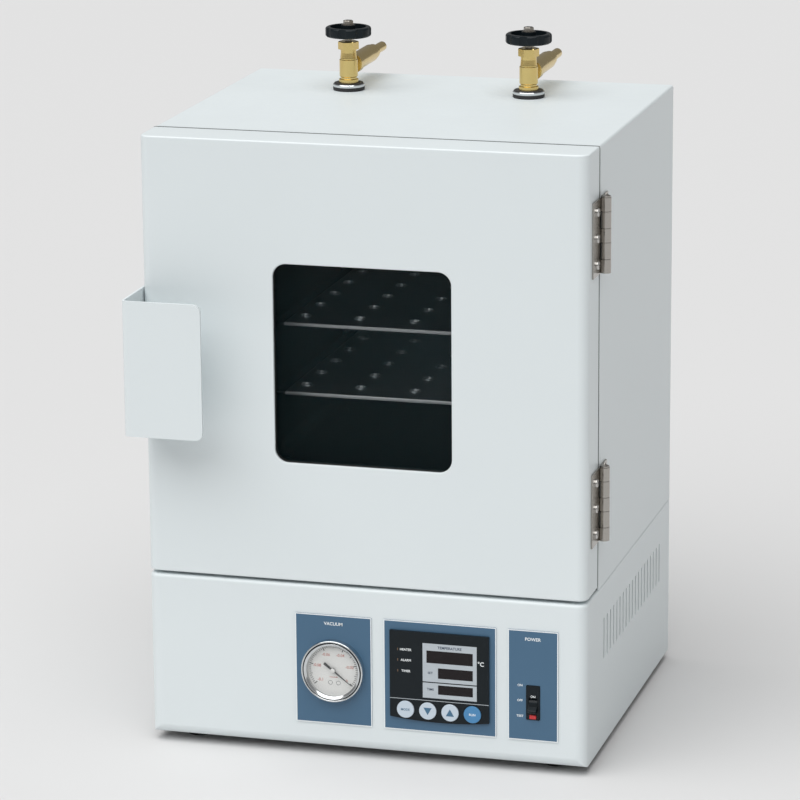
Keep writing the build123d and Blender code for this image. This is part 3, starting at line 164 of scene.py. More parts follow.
# the window's gasket band, the shelves' hems with their painted highlight, and the black strips of painted
# shade in the door's gap
GASKET_CLEARANCE = 0.05 * MM
HEM_BULGE = 0.5
HEM_INTO_SHELF = 0.3 * MM
HEM_SHORT = 0.5 * MM
STRIP_THICKNESS = 0.28 * MM
STRIP_PROUD = 0.06 * MM
STRIP_CORNER = 1.5 * MM
STRIP_SEAM = 0.1 * MM
DOOR_STRIP_WIDE = 1.7 * MM
CASE_STRIP_THICKNESS = 8.0 * MM
CASE_STRIP_CORNER = 2.5 * MM
CASE_STRIP_INSET = 0.2 * MM
CASE_STRIP_GAP = 0.15 * MM
CASE_STRIP_CLEARANCE = 0.02 * MM


# ---------------------------------------------------------------- settings
def length(name, about, default):
    """A length property, in metres."""
    return FloatProperty(name=name, description=about, default=default, unit="LENGTH", min=0.0, precision=5)


def colour(name, about, default):
    """A linear colour property."""
    return FloatVectorProperty(
        name=name, description=about, default=default, subtype="COLOR", size=3, min=0.0, max=1.0,
    )


def number(name, about, default):
    """A plain number property."""
    return FloatProperty(name=name, description=about, default=default)


class OvenColours(PropertyGroup):
    """The colours of the oven's finishes."""

    enamel: colour("Enamel", "Powder-coated steel of the case, door and handle", (0.74, 0.795, 0.81))
    panel_blue: colour("Panel Blue", "Printed control plates", (0.058, 0.135, 0.225))
    print_white: colour("Print White", "Words and outlines printed on the plates", (0.86, 0.90, 0.91))
    # painted dark: black for the strips in the door's gap (painted shade), the bezel's groove (painted dark
    # reflection) and the window's gasket band (gasket and painted shade)
    painted_dark_colour: colour("Edge Black", "Foam strips between the door and the case", (0.010, 0.012, 0.013))
    bright_steel: colour("Bright Steel", "Screws, hinges, collars and the gauge's ring", (0.56, 0.55, 0.53))
    # a dark teal stands in for the chamber's stainless: painted shade inside the chamber
    chamber_steel: colour("Chamber Steel", "Stainless sheet of the chamber and its racks", (0.15, 0.21, 0.23))
    brass: colour("Brass", "Turned valve bodies and nozzles", (0.70, 0.53, 0.21))
    rubber: colour("Rubber", "Feet and grommets", (0.018, 0.018, 0.019))
    wheel_black: colour("Wheel Black", "Moulded handwheels and the controller's case", (0.006, 0.010, 0.013))
    dial_white: colour("Dial White", "Face of the vacuum gauge", (0.80, 0.80, 0.78))
    dial_figures: colour("Dial Figures", "Numbers printed on the dial", (0.55, 0.20, 0.16))
    # near-black tint of the cover and glass: partly the glass's own tint, partly painted shade over the
    # chamber behind it
    window_tint_and_shade: colour("Window Tint", "Body colour of the door's cover and glass", (0.002, 0.010, 0.013))
    key_white: colour("Key White", "Pale keys of the controller", (0.56, 0.64, 0.72))
    key_blue: colour("Key Blue", "Run key of the controller", (0.065, 0.235, 0.46))
    key_marks: colour("Key Marks", "Triangles and words on the keys", (0.055, 0.150, 0.250))
    button_red: colour("Button Red", "Test button of the breaker", (0.62, 0.030, 0.035))
    surround_silver: colour("Surround Silver", "Plate round the controller's displays", (0.55, 0.60, 0.64))
    lamp_amber: colour("Lamp Amber", "Unlit lamps of the controller", (0.16, 0.10, 0.06))


class OvenSizes(PropertyGroup):
    """The sizes of the printed marks and small fittings."""

    print_thickness: length("Print Thickness", "How far ink stands proud", 0.06 * MM)
    word_height: length("Word Height", "Capital height of the words on the plates", 3.0 * MM)
    small_word_height: length("Small Word Height", "Capital height of the words on the controller", 2.1 * MM)
    dial_number_height: length("Dial Number Height", "Height of the figures on the dial", 2.7 * MM)
    dial_number_radius: length("Dial Number Radius", "Distance of the figures from the arbor", 15.4 * MM)
    tick_radius: length("Tick Radius", "Outer end of the dial's ticks", 22.4 * MM)
    long_tick: length("Long Tick", "Length of a tick at a figure", 3.4 * MM)
    short_tick: length("Short Tick", "Length of a plain tick", 1.9 * MM)
    tick_width: length("Tick Width", "Width of a long tick", 0.80 * MM)
    bezel_rim: length("Bezel Rim", "Width of the bezel's round rim", 1.6 * MM)
    bezel_groove: length("Bezel Groove", "Width of the groove inside the rim", 0.8 * MM)
    bezel_sight: length("Bezel Sight", "Radius at which the bezel meets the glass", 23.4 * MM)
    bezel_seat: length("Bezel Seat", "Radius inside which the bezel holds the dial", 24.6 * MM)
    border_width: length("Border Width", "Width of the outline round a plate", 0.85 * MM)
    arbor_cap: length("Arbor Cap", "Radius of the pale cap on the pointer", 2.1 * MM)
    nut_radius: length("Nut Radius", "From the middle of a handwheel's nut to its corners", 4.75 * MM)
    hinge_length: length("Hinge Length", "Length of a hinge's leaves", 66.0 * MM)
    hinge_pitch: length("Hinge Pitch", "Distance between a leaf's screws", 23.0 * MM)
    recess_length: length("Recess Length", "Length of a cross recess in a screw's head", 4.2 * MM)
    recess_width: length("Recess Width", "Width of a cross recess's slots", 0.75 * MM)
    door_bend: length("Door Bend", "Radius of the door's upright bends", 9.0 * MM)
    door_fold: length("Door Fold", "Radius of the door's folds above and below", 1.5 * MM)
    rim_round: length("Rim Round", "Rounding of the window's rim", 1.0 * MM)
    rim_depth: length("Rim Depth", "How far the window's rim turns in", 2.5 * MM)
    window_corner: length("Window Corner", "Corner radius of the window", 12.0 * MM)
    cover_margin: length("Cover Margin", "How far the window's cover reaches past its opening", 10.0 * MM)
    gasket_band: length("Gasket Band", "Width of the black gasket behind the window's rim", 3.0 * MM)
    sheet: length("Sheet", "Thickness of the door's skin", 1.0 * MM)
    hem_height: length("Hem Height", "Height of the rolled hem on a shelf's front edge", 2.6 * MM)
    hem_below: length("Hem Below", "How far a hem lies below the rims of its shelf's holes", 1.0 * MM)
    # the edge strips are painted shade: black laid in the door's gap where shade falls
    edge_strip: length("Edge Strip", "How far the foam strips lie inside the case's outline", 0.45 * MM)


class OvenStage(PropertyGroup):
    """The floor, the light and the camera."""

    floor_colour: colour("Floor Colour", "Plain floor under the oven", (0.66, 0.66, 0.66))
    floor_size: length("Floor Size", "Side of the square floor", 30.0)
    sky_strength: number("Sky Strength", "Soft light from all round", 0.26)
    sun_strength: number("Sun Strength", "Key light from above and in front", 3.15)
    sun_angle: number("Sun Angle", "Apparent size of the key light in degrees", 75.0)
    lens: number("Lens", "Focal length on a 36 mm sensor, in millimetres", 178.73)


class OvenSettings(PropertyGroup):
    """Everything that the panel shows."""

    colours: PointerProperty(type=OvenColours)
    sizes: PointerProperty(type=OvenSizes)
    stage: PointerProperty(type=OvenStage)


def settings():
    """The settings on the current scene."""
    return bpy.context.scene.oven_settings


# ---------------------------------------------------------------- node wiring
def put(tree, kind, sockets=None, **attributes):
    """Adds a node, sets its attributes, and sets or links its inputs by name or number."""
    node = tree.nodes.new(kind)
    for key, value in attributes.items():
        setattr(node, key, value)
    for key, value in (sockets or {}).items():
        if isinstance(value, bpy.types.NodeSocket):
            tree.links.new(value, node.inputs[key])
        else:
            node.inputs[key].default_value = value
    return node


def maths(tree, operation, first, second, third=0.5):
    """The result of one sum on two or three numbers or sockets."""
    return put(tree, "ShaderNodeMath", {0: first, 1: second, 2: third}, operation=operation).outputs[0]


def scaled(tree, colour_socket, factor):
    """A colour times a number."""
    inputs = {"Vector": colour_socket, "Scale": factor}
    return put(tree, "ShaderNodeVectorMath", inputs, operation="SCALE").outputs[0]


def stretched(tree, place, factors):
    """A place times a factor along each axis."""
    return put(tree, "ShaderNodeVectorMath", {0: place, 1: factors}, operation="MULTIPLY").outputs[0]


def ranged(tree, value, low, high):
    """A value between low and high, brought to the range from 0 to 1."""
    return put(tree, "ShaderNodeMapRange", {"Value": value, "From Min": low, "From Max": high}).outputs[0]


def noise(tree, place, scale, detail=2.0, rough=0.5):
    """A grey noise from 0 to 1 at a number of lumps for each metre."""
    inputs = {"Vector": place, "Scale": scale, "Detail": detail, "Roughness": rough}
    return put(tree, "ShaderNodeTexNoise", inputs).outputs["Fac"]


def around(tree, grey, spread):
    """A factor that varies about 1 by a spread, from a noise about a half."""
    centred = maths(tree, "SUBTRACT", grey, 0.5)
    return maths(tree, "MULTIPLY_ADD", centred, spread, 1.0)


def effect(name, inputs, outputs, wire):
    """A shader node group with named inputs and outputs, wired by a function of tree, inputs and place."""
    tree = bpy.data.node_groups.new(name, "ShaderNodeTree")
    for label, kind, default in inputs:
        socket = tree.interface.new_socket(label, in_out="INPUT", socket_type=kind)
        socket.default_value = default
    for label, kind in outputs:
        tree.interface.new_socket(label, in_out="OUTPUT", socket_type=kind)
    given = tree.nodes.new("NodeGroupInput")
    place = tree.nodes.new("ShaderNodeTexCoord").outputs["Object"]
    made = wire(tree, given.outputs, place)
    result = tree.nodes.new("NodeGroupOutput")
    for label, socket in made.items():
        tree.links.new(socket, result.inputs[label])
    return tree


COLOUR, NUMBER, VECTOR = "NodeSocketColor", "NodeSocketFloat", "NodeSocketVector"
SURFACE_OUTPUTS = [("Colour", COLOUR), ("Roughness", NUMBER), ("Height", NUMBER)]


def settled(tree, place):
    """Fine dust on what faces up: the surface's upward lean times a patchy noise."""
    normal = put(tree, "ShaderNodeNewGeometry").outputs["Normal"]
    up = put(tree, "ShaderNodeSeparateXYZ", {0: normal}).outputs[2]
    patches = noise(tree, place, 60.0, 6.0, 0.7)
    return maths(tree, "MULTIPLY", ranged(tree, up, 0.7, 1.0), ranged(tree, patches, 0.4, 0.8))


def wire_coat(tree, given, place):
    """Sprayed powder: a cloudy tone, an orange peel of fine lumps, and a gloss that the dust dulls."""
    dusty_gloss = 0.12
    cloud = noise(tree, place, given["Cloud Scale"], 3.0)
    peel = noise(tree, place, given["Peel Scale"], 1.0)
    tone = around(tree, cloud, given["Cloud"])
    dust = settled(tree, place)
    shade = maths(tree, "MULTIPLY_ADD", dust, given["Dust"], 1.0)
    gloss = maths(tree, "MULTIPLY", given["Roughness"], around(tree, cloud, given["Gloss Spread"]))
    return {
        "Colour": scaled(tree, scaled(tree, given["Colour"], tone), shade),
        "Roughness": maths(tree, "ADD", gloss, maths(tree, "MULTIPLY", dust, dusty_gloss)),
        "Height": peel,
    }


def wire_grain(tree, given, place):
    """Drawn or turned metal: noise stretched along the grain, over a slow stain."""
    along = stretched(tree, place, given["Stretch"])
    streak = noise(tree, along, 1.0, 4.0, 0.65)
    stain = noise(tree, place, 35.0, 3.0)
    streaked, stained = around(tree, streak, given["Streak"]), around(tree, stain, given["Stain"])
    tone = maths(tree, "MULTIPLY", streaked, stained)
    gloss = maths(tree, "MULTIPLY", given["Roughness"], around(tree, streak, given["Gloss Spread"]))
    return {"Colour": scaled(tree, given["Colour"], tone), "Roughness": gloss, "Height": streak}


def wire_stipple(tree, given, place):
    """Moulded plastic or rubber: a fine stipple with pale dust on what faces up."""
    stipple = noise(tree, place, given["Stipple Scale"], 2.0)
    wear = noise(tree, place, 90.0, 5.0, 0.6)
    dust = maths(tree, "MULTIPLY", settled(tree, place), given["Dust"])
    base = scaled(tree, given["Colour"], around(tree, wear, given["Cloud"]))
    powder = (0.35, 0.35, 0.34, 1.0)
    mixed = put(tree, "ShaderNodeMix", {0: dust, 6: base, 7: powder}, data_type="RGBA").outputs[2]
    gloss = maths(tree, "MULTIPLY", given["Roughness"], around(tree, wear, given["Gloss Spread"]))
    return {"Colour": mixed, "Roughness": gloss, "Height": stipple}


def wire_fibre(tree, given, place):
    """Matted wool: two crossed layers of stretched noise."""
    first = stretched(tree, place, (900.0, 90.0, 140.0))
    second = stretched(tree, place, (120.0, 800.0, 600.0))
    mat = maths(tree, "MAXIMUM", noise(tree, first, 1.0, 4.0), noise(tree, second, 1.0, 4.0))
    tone = around(tree, mat, given["Cloud"])
    return {"Colour": scaled(tree, given["Colour"], tone), "Roughness": given["Roughness"], "Height": mat}


def build_effects():
    """The shared surface effects, by name."""
    shared = [
        ("Colour", COLOUR, (0.8, 0.8, 0.8, 1.0)), ("Roughness", NUMBER, 0.4), ("Gloss Spread", NUMBER, 0.3),
    ]
    coat = [
        ("Cloud", NUMBER, 0.05), ("Cloud Scale", NUMBER, 8.0), ("Peel Scale", NUMBER, 700.0),
        ("Dust", NUMBER, 0.0),
    ]
    grain = [("Stretch", VECTOR, (20.0, 20.0, 2000.0)), ("Streak", NUMBER, 0.3), ("Stain", NUMBER, 0.1)]
    stipple = [("Cloud", NUMBER, 0.1), ("Stipple Scale", NUMBER, 1800.0), ("Dust", NUMBER, 0.1)]
    fibre = [("Cloud", NUMBER, 0.5)]
    return {
        "coat": effect("Powder Coat", shared + coat, SURFACE_OUTPUTS, wire_coat),
        "grain": effect("Metal Grain", shared + grain, SURFACE_OUTPUTS, wire_grain),
        "stipple": effect("Moulded Stipple", shared + stipple, SURFACE_OUTPUTS, wire_stipple),
        "fibre": effect("Matted Fibre", shared + fibre, SURFACE_OUTPUTS, wire_fibre),
    }


# ---------------------------------------------------------------- finishes
def opaque(value):
    """A colour property as four numbers."""
    return (*value, 1.0)


UPRIGHT_GRAIN = (24.0, 24.0, 2600.0)
LEVEL_GRAIN = (2600.0, 60.0, 60.0)
SURROUND_GRAIN = (60.0, 60.0, 1500.0)


def coated(colour_value, roughness, strength=0.1, depth=0.00004, **more):
    """Paint or ink: colour, roughness, the bump's strength and depth, and other values of the coat."""
    return "coat", {"Colour": colour_value, "Roughness": roughness, **more}, {}, strength, depth


def grained(colour_value, roughness, grain, strength=0.08, depth=0.00003, metallic=1.0, **more):
    """Metal drawn along a grain: as for paint, with how far it is a metal."""
    values = {"Colour": colour_value, "Roughness": roughness, "Stretch": grain, **more}
    return "grain", values, {"Metallic": metallic}, strength, depth


def moulded(colour_value, roughness, strength, depth, shader_values=None, **more):
    """Plastic or rubber from a mould: as for paint, with other values of the shader."""
    values = {"Colour": colour_value, "Roughness": roughness, **more}
    return "stipple", values, shader_values or {}, strength, depth


def see_through(colour_value, roughness, spread, strength, depth, shader_values):
    """A clear sheet: a coat of even colour, and the shader's own values for how it lets light by."""
    values = {"Colour": colour_value, "Roughness": roughness, "Gloss Spread": spread}
    return "coat", values, shader_values, strength, depth


def finish_table():
    """Each finish: its effect, its values, the shader's own values, and the bump's strength and depth."""
    c = settings().colours
    upright, level = UPRIGHT_GRAIN, LEVEL_GRAIN
    resin = {"Alpha": 0.15, "IOR": 1.45, "Specular IOR Level": 0.35}
    pane = {"Alpha": 0.13, "IOR": 1.5, "Specular IOR Level": 0.3}
    lens = {"Alpha": 0.06, "IOR": 1.5}
    dull, faint = {"Specular IOR Level": 0.22}, {"Specular IOR Level": 0.2}
    return {
        "enamel": coated(c.enamel, 0.40, 0.16, 0.00012, Cloud=0.03, Dust=-0.03),
        "blue_paint": coated(c.panel_blue, 0.42, 0.12, 0.00008, Cloud=0.10),
        "print_white": coated(c.print_white, 0.55),
        "print_grey": coated((0.055, 0.060, 0.065), 0.55),
        "print_red": coated(c.dial_figures, 0.55),
        "print_dark": coated((0.03, 0.05, 0.09), 0.5),
        "key_print": coated(c.key_marks, 0.5),
        "dial_white": coated(c.dial_white, 0.60, 0.08, Cloud=0.03),
        "pointer_black": coated((0.012, 0.012, 0.013), 0.45),
        "inner_steel": grained((0.42, 0.42, 0.42), 0.42, level, 0.10, 0.00004),
        # dark chamber steel: painted shade inside the chamber
        "chamber_steel": grained(c.chamber_steel, 0.36, level, 0.10, 0.00005),
        # shelf steel much paler than the chamber's: partly the steel's colour, partly a painted highlight on
        # the shelves' edges and hole rims
        "shelf_highlight_steel": grained((0.78, 0.84, 0.86), 0.32, level, 0.08, 0.00004),
        # paler, part-metal hem steel: a painted highlight along each shelf's front edge
        "hem_painted_highlight": grained((0.90, 0.95, 0.97), 0.38, level, 0.08, 0.00004, 0.35),
        "bright_steel": grained(c.bright_steel, 0.26, upright, Streak=0.2),
        "dark_steel": grained((0.30, 0.28, 0.25), 0.30, upright, Streak=0.2),
        "hinge_steel": grained((0.42, 0.40, 0.37), 0.24, upright, Streak=0.25),
        "alloy": grained((0.60, 0.60, 0.61), 0.45, upright, 0.10, 0.00005),
        "brass": grained(c.brass, 0.24, upright, 0.10, Streak=0.16, Stain=0.16),
        "chrome": grained((0.66, 0.68, 0.69), 0.16, upright, 0.04, 0.00002, Streak=0.1),
        "surround_silver": grained(c.surround_silver, 0.38, SURROUND_GRAIN, 0.05, 0.00003, 0.7, Streak=0.1),
        # black that paints shade in the door's gap and behind the window's rim, and a dark reflection in the
        # bezel's groove
        "edge_foam": moulded(c.painted_dark_colour, 0.85, 0.2, 0.00008, Dust=0.0),
        "black_rubber": moulded(c.rubber, 0.62, 0.25, 0.00008, Dust=0.25),
        "silicone": moulded((0.55, 0.53, 0.50), 0.60, 0.15, 0.00006, Dust=0.05),
        "heater_pad": moulded((0.42, 0.12, 0.04), 0.65, 0.2, 0.00008),
        "black_plastic": moulded(c.wheel_black, 0.34, 0.18, 0.00006, dull, Dust=0.02),
        "key_white": moulded(c.key_white, 0.42, 0.12, 0.00004, Dust=0.0, Cloud=0.04),
        "key_blue": moulded(c.key_blue, 0.38, 0.12, 0.00004, Dust=0.0, Cloud=0.06),
        "button_red": moulded(c.button_red, 0.30, 0.08, 0.00003, Dust=0.0),
        # near-black bars painted into the screws' heads as the shade in their cross recesses
        "recess_painted_shade": moulded((0.02, 0.02, 0.02), 0.7, 0.1, 0.00003, Dust=0.0),
        "display_tint": moulded((0.012, 0.009, 0.010), 0.12, 0.03, 0.00002, faint, Dust=0.0),
        "lamp_dark": moulded(c.lamp_amber, 0.2, 0.03, 0.00002, Dust=0.0),
        "glass_wool": ("fibre", {"Colour": (0.62, 0.55, 0.32), "Roughness": 0.95}, {}, 0.8, 0.002),
        # the window's tint is partly the glass's own and partly painted shade over the chamber
        "clear_resin": see_through(c.window_tint_and_shade, 0.10, 0.5, 0.02, 0.00002, resin),
        "clear_glass": see_through(c.window_tint_and_shade, 0.04, 0.3, 0.01, 0.00001, pane),
        "lens_glass": see_through((0.6, 0.62, 0.62), 0.03, 0.3, 0.01, 0.00001, lens),
    }


def make_finish(name, effects):
    """One material: the effect's colour and gloss in a Principled shader, and its height through a bump."""
    kind, values, shader_values, strength, depth = finish_table()[name]
    material = bpy.data.materials.new(name)
    material.use_nodes = True
    tree = material.node_tree
    tree.nodes.clear()
    group = put(tree, "ShaderNodeGroup", node_tree=effects[kind])
    for label, value in values.items():
        group.inputs[label].default_value = opaque(value) if label == "Colour" else value
    height = {"Height": group.outputs["Height"], "Strength": strength, "Distance": depth}
    bump = put(tree, "ShaderNodeBump", height)
    shader = put(tree, "ShaderNodeBsdfPrincipled", {
        "Base Color": group.outputs["Colour"], "Roughness": group.outputs["Roughness"],
        "Normal": bump.outputs["Normal"], **shader_values,
    })
    put(tree, "ShaderNodeOutputMaterial", {"Surface": shader.outputs["BSDF"]})
    return material


FINISHES = {}


def finish(name):
    """The material of that name, made on first use."""
    if not FINISHES:
        FINISHES["effects"] = build_effects()
    if name not in FINISHES:
        FINISHES[name] = make_finish(name, FINISHES["effects"])
    return FINISHES[name]


# ---------------------------------------------------------------- surfaces
def grid_faces(rows, columns, wrap_rows=False, wrap_columns=False):
    """The quads of a grid whose point (i, j) is number i * columns + j, closed along either way."""
    i = np.arange(rows if wrap_rows else rows - 1)[:, None]
    j = np.arange(columns if wrap_columns else columns - 1)[None, :]
    k, m = (i + 1) % rows, (j + 1) % columns
    corners = [i * columns + j, i * columns + m, k * columns + m, k * columns + j]
    return np.stack(np.broadcast_arrays(*corners), axis=-1).reshape(-1, 4)


def make_piece(name, points, faces, finish_name, body, slot, smooth=True):
    """A mesh object from arrays of points and quads, settled on its body."""
    return settle(array_mesh(name, points, faces), name, finish_name, body, smooth)


def settle(mesh, name, finish_name, body, smooth=False):
    """Welds a mesh, turns its faces outwards, gives it its finish and rides it on a body."""
    work = bmesh.new()
    work.from_mesh(mesh)
    bmesh.ops.remove_doubles(work, verts=work.verts, dist=WELD)
    bmesh.ops.dissolve_degenerate(work, edges=work.edges, dist=WELD)
    bmesh.ops.delete(work, geom=[point for point in work.verts if not point.link_faces], context="VERTS")
    bmesh.ops.recalc_face_normals(work, faces=work.faces)
    work.to_mesh(mesh)
    work.free()
    if smooth:
        mesh.shade_smooth()
        mesh.set_sharp_from_angle(angle=SHARP_EDGE)
    mesh.materials.clear()
    mesh.materials.append(finish(finish_name))
    piece = bpy.data.objects.new(name, mesh)
    bpy.context.scene.collection.objects.link(piece)
    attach(piece, body)
    return piece


FORWARD = (0.0, -1.0, 0.0)


def lathe(profile, centre, axis, count):
    """Points and quads of a closed (radius, height) profile turned round an axis: centre + radius around it
    + height along it."""
    along = np.array(axis, float)
    across = np.array((1.0, 0.0, 0.0)) if abs(along[0]) < 0.5 else np.array((0.0, 1.0, 0.0))
    other = np.cross(along, across)
    turn = 2 * np.pi * np.arange(count) / count
    around_axis = np.cos(turn)[:, None] * across + np.sin(turn)[:, None] * other
    radius, height = np.array(profile, float).T
    outward = radius[None, :, None] * around_axis[:, None, :]
    points = np.array(centre, float) + outward + height[None, :, None] * along
    return points, grid_faces(count, len(radius), True, True)


def rounded_outline(centre, width, height, corner):
    """Points round a rounded rectangle in x and z: four quarter circles, each on its corner's centre."""
    quarter = np.linspace(0, np.pi / 2, CORNER_POINTS)
    angle = (quarter[None, :] + np.arange(4)[:, None] * np.pi / 2).ravel()
    sign_x = np.repeat([1, -1, -1, 1], CORNER_POINTS)
    sign_z = np.repeat([1, 1, -1, -1], CORNER_POINTS)
    x = centre[0] + sign_x * (width / 2 - corner) + corner * np.cos(angle)
    z = centre[1] + sign_z * (height / 2 - corner) + corner * np.sin(angle)
    return np.stack([x, z], axis=-1)


def at_depth(ring, y):
    """A ring of points in x and z, stood up at one y."""
    return np.column_stack([ring[:, 0], np.full(len(ring), y), ring[:, 1]])


def carried(centre, width, height, corner, section):
    """A closed section of (inset, y) carried round a rounded rectangle: one ring for each of its points."""
    rings = []
    for inset, y in section:
        rounding = max(corner - inset, SMALLEST_CORNER)
        rings.append(at_depth(rounded_outline(centre, width - 2 * inset, height - 2 * inset, rounding), y))
    return np.stack(rings), grid_faces(len(rings), len(rings[0]), True, True)


def outline_frame(centre, width, height, corner, band, y_face, proud):
    """A flat frame inside a rounded rectangle, band wide and proud of a face."""
    y_front = y_face - proud
    section = [(0.0, y_face), (0.0, y_front), (band, y_front), (band, y_face)]
    return carried(centre, width, height, corner, section)


def rim_strip(low, high, corner, inset, thickness, y0, y1):
    """A thin strip round a rounded rectangle, from y0 to y1: its outside lies inset within the outline."""
    centre = ((low.x + high.x) / 2, (low.z + high.z) / 2)
    section = [(inset, y0), (inset, y1), (inset + thickness, y1), (inset + thickness, y0)]
    return carried(centre, high.x - low.x, high.z - low.z, corner, section)


def blocks(centres, along, across, lengths, widths, low, high, outward=FORWARD):
    """Many thin blocks at once: each centre plus or minus half its length and width, from low to high."""
    centres, along, across = (np.asarray(a, float).reshape(-1, 3) for a in (centres, along, across))
    half_long = np.broadcast_to(np.asarray(lengths, float) / 2, len(centres))[:, None, None]
    half_wide = np.broadcast_to(np.asarray(widths, float) / 2, len(centres))[:, None, None]
    sign_long = np.array([-1, 1, 1, -1, -1, 1, 1, -1])[None, :, None]
    sign_wide = np.array([-1, -1, 1, 1, -1, -1, 1, 1])[None, :, None]
    out = np.where(np.arange(8) < 4, low, high)[None, :, None] * np.array(outward)
    long_way = sign_long * half_long * along[:, None, :]
    wide_way = sign_wide * half_wide * across[:, None, :]
    points = centres[:, None, :] + long_way + wide_way + out
    cube = np.array([
        [0, 3, 2, 1], [4, 5, 6, 7], [0, 1, 5, 4], [1, 2, 6, 5], [2, 3, 7, 6], [3, 0, 4, 7],
    ])
    faces = (cube[None] + 8 * np.arange(len(centres))[:, None, None]).reshape(-1, 4)
    return points, faces


def pierced_plate(across, up, held, y_face, proud):
    """A flat plate on a grid of unequal cells: both faces on the held cells, walls where a held cell ends."""
    x, z = np.meshgrid(np.asarray(across, float), np.asarray(up, float), indexing="ij")
    points = np.stack([np.stack([x, np.full_like(x, y_face - out), z], axis=-1) for out in (0.0, proud)])
    back, front = np.arange(points[..., 0].size).reshape(points.shape[:3])
    cells = np.asarray(held, bool)
    i, j = np.nonzero(cells)
    flats = [np.stack([k[i, j], k[i + 1, j], k[i + 1, j + 1], k[i, j + 1]], -1) for k in (back, front)]
    padded = np.pad(cells, 1)
    i, j = np.nonzero(padded[1:, 1:-1] != padded[:-1, 1:-1])
    upright = np.stack([back[i, j], back[i, j + 1], front[i, j + 1], front[i, j]], -1)
    i, j = np.nonzero(padded[1:-1, 1:] != padded[1:-1, :-1])
    level = np.stack([back[i, j], back[i + 1, j], front[i + 1, j], front[i, j]], -1)
    return points, np.concatenate([*flats, upright, level])


def rounded_side(normal, tangents, corner, m):
    """One side of a rounded rectangle in its own normal and tangent: half an arc, a straight, half an arc."""
    arc, straight = m // 4, m - 2 * (m // 4)
    first = np.linspace(-np.pi / 4, 0.0, arc, endpoint=False)
    last = np.linspace(0.0, np.pi / 4, arc, endpoint=False)
    middle, reach = normal - corner, tangents - corner
    flat = np.full(straight, normal)
    out = np.concatenate([middle + corner * np.cos(first), flat, middle + corner * np.cos(last)])
    run = np.linspace(-reach, reach, straight, endpoint=False)
    along = np.concatenate([-reach + corner * np.sin(first), run, reach + corner * np.sin(last)])
    return out, along


def ring_of_sides(half_wide, half_tall, corner, m):
    """A closed ring of 4 m points round a rectangle, side after side from the lower right, in x and z."""
    def side(normal, tangent):
        if corner > 0:
            return rounded_side(normal, tangent, corner, m)
        return np.full(m, normal), np.linspace(-tangent, tangent, m, endpoint=False)

    right, top = side(half_wide, half_tall), side(half_tall, half_wide)
    x = np.concatenate([right[0], -top[1], -right[0], top[1]])
    z = np.concatenate([right[1], top[0], -right[1], -top[0]])
    return np.stack([x, z], axis=-1)


def shell_front(edge_half, edge_tall, front, opening, lip_round, lip_depth):
    """The sheet round a window: rings from the lip's back, over its quarter round, which is r (1 - cos a) out
    and r (1 - sin a) deep, to a plain rectangle."""
    width, height, corner = opening
    quarter = np.linspace(0.0, np.pi / 2, SHELL_LIP_POINTS)
    rounding = [(lip_round * (1 - np.cos(a)), lip_round * (1 - np.sin(a))) for a in quarter]
    rings = []
    for outset, depth in [(0.0, lip_depth), *rounding]:
        ring = ring_of_sides(width / 2 + outset, height / 2 + outset, corner + outset, SHELL_SIDE_POINTS)
        rings.append(at_depth(ring, front + depth))
    rings.append(at_depth(ring_of_sides(edge_half, edge_tall, 0.0, SHELL_SIDE_POINTS), front))
    return np.stack(rings), grid_faces(len(rings), len(rings[0]), False, True)


def bent_side(half, front, back, bend):
    """The right side of the sheet from above, from its rear edge to its front: points and normals in x and y,
    where the bend is its centre plus r (cos a, -sin a)."""
    angle = np.linspace(0.0, np.pi / 2, SHELL_BEND_POINTS)
    x = np.concatenate([[half], half - bend + bend * np.cos(angle)])
    y = np.concatenate([[back], front + bend - bend * np.sin(angle)])
    normal_x = np.concatenate([[1.0], np.cos(angle)])
    normal_y = np.concatenate([[0.0], -np.sin(angle)])
    return x, y, normal_x, normal_y


def folded_shell(low, high, bend, fold, opening, lip_round, lip_depth):
    """A sheet shell open behind. Front: rings from the window's lip to a rectangle. Walls: an upright line
    carried round a bend. Folds and ends: the same path, drawn in by fold (1 - cos a) and raised by
    fold sin a, then run back to the rear edge."""
    m = SHELL_SIDE_POINTS
    half, tall = (high.x - low.x) / 2, (high.z - low.z) / 2
    front, back = low.y, high.y
    edge_half, edge_tall = half - bend, tall - fold
    patches = [shell_front(edge_half, edge_tall, front, opening, lip_round, lip_depth)]
    x, y, normal_x, normal_y = bent_side(half, front, back, bend)
    line = np.linspace(edge_half, -edge_half, m + 1)[1:-1]
    none, one = np.zeros(len(line)), np.ones(len(line))
    path = np.column_stack([
        np.concatenate([x, line, -x[::-1]]), np.concatenate([y, front * one, y[::-1]]),
    ])
    normal = np.column_stack([
        np.concatenate([normal_x, none, -normal_x[::-1]]), np.concatenate([normal_y, -one, normal_y[::-1]]),
    ])
    level = np.linspace(-edge_tall, edge_tall, m + 1)
    for way in (1, -1):
        wall = np.stack(np.broadcast_arrays(way * x[:, None], y[:, None], level[None, :]), axis=-1)
        patches.append((wall, grid_faces(len(x), m + 1)))
        rows = []
        for a in np.linspace(0.0, np.pi / 2, SHELL_FOLD_POINTS):
            drawn = path - normal * fold * (1 - np.cos(a))
            height = way * (edge_tall + fold * np.sin(a))
            rows.append(np.column_stack([drawn, np.full(len(path), height)]))
        rear = rows[-1].copy()
        rear[:, 1] = back
        patches.append((np.stack([*rows, rear]), grid_faces(len(rows) + 1, len(path))))
    middle = np.array([(low.x + high.x) / 2, 0.0, (low.z + high.z) / 2])
    return [(points.reshape(-1, 3) + middle, faces) for points, faces in patches]


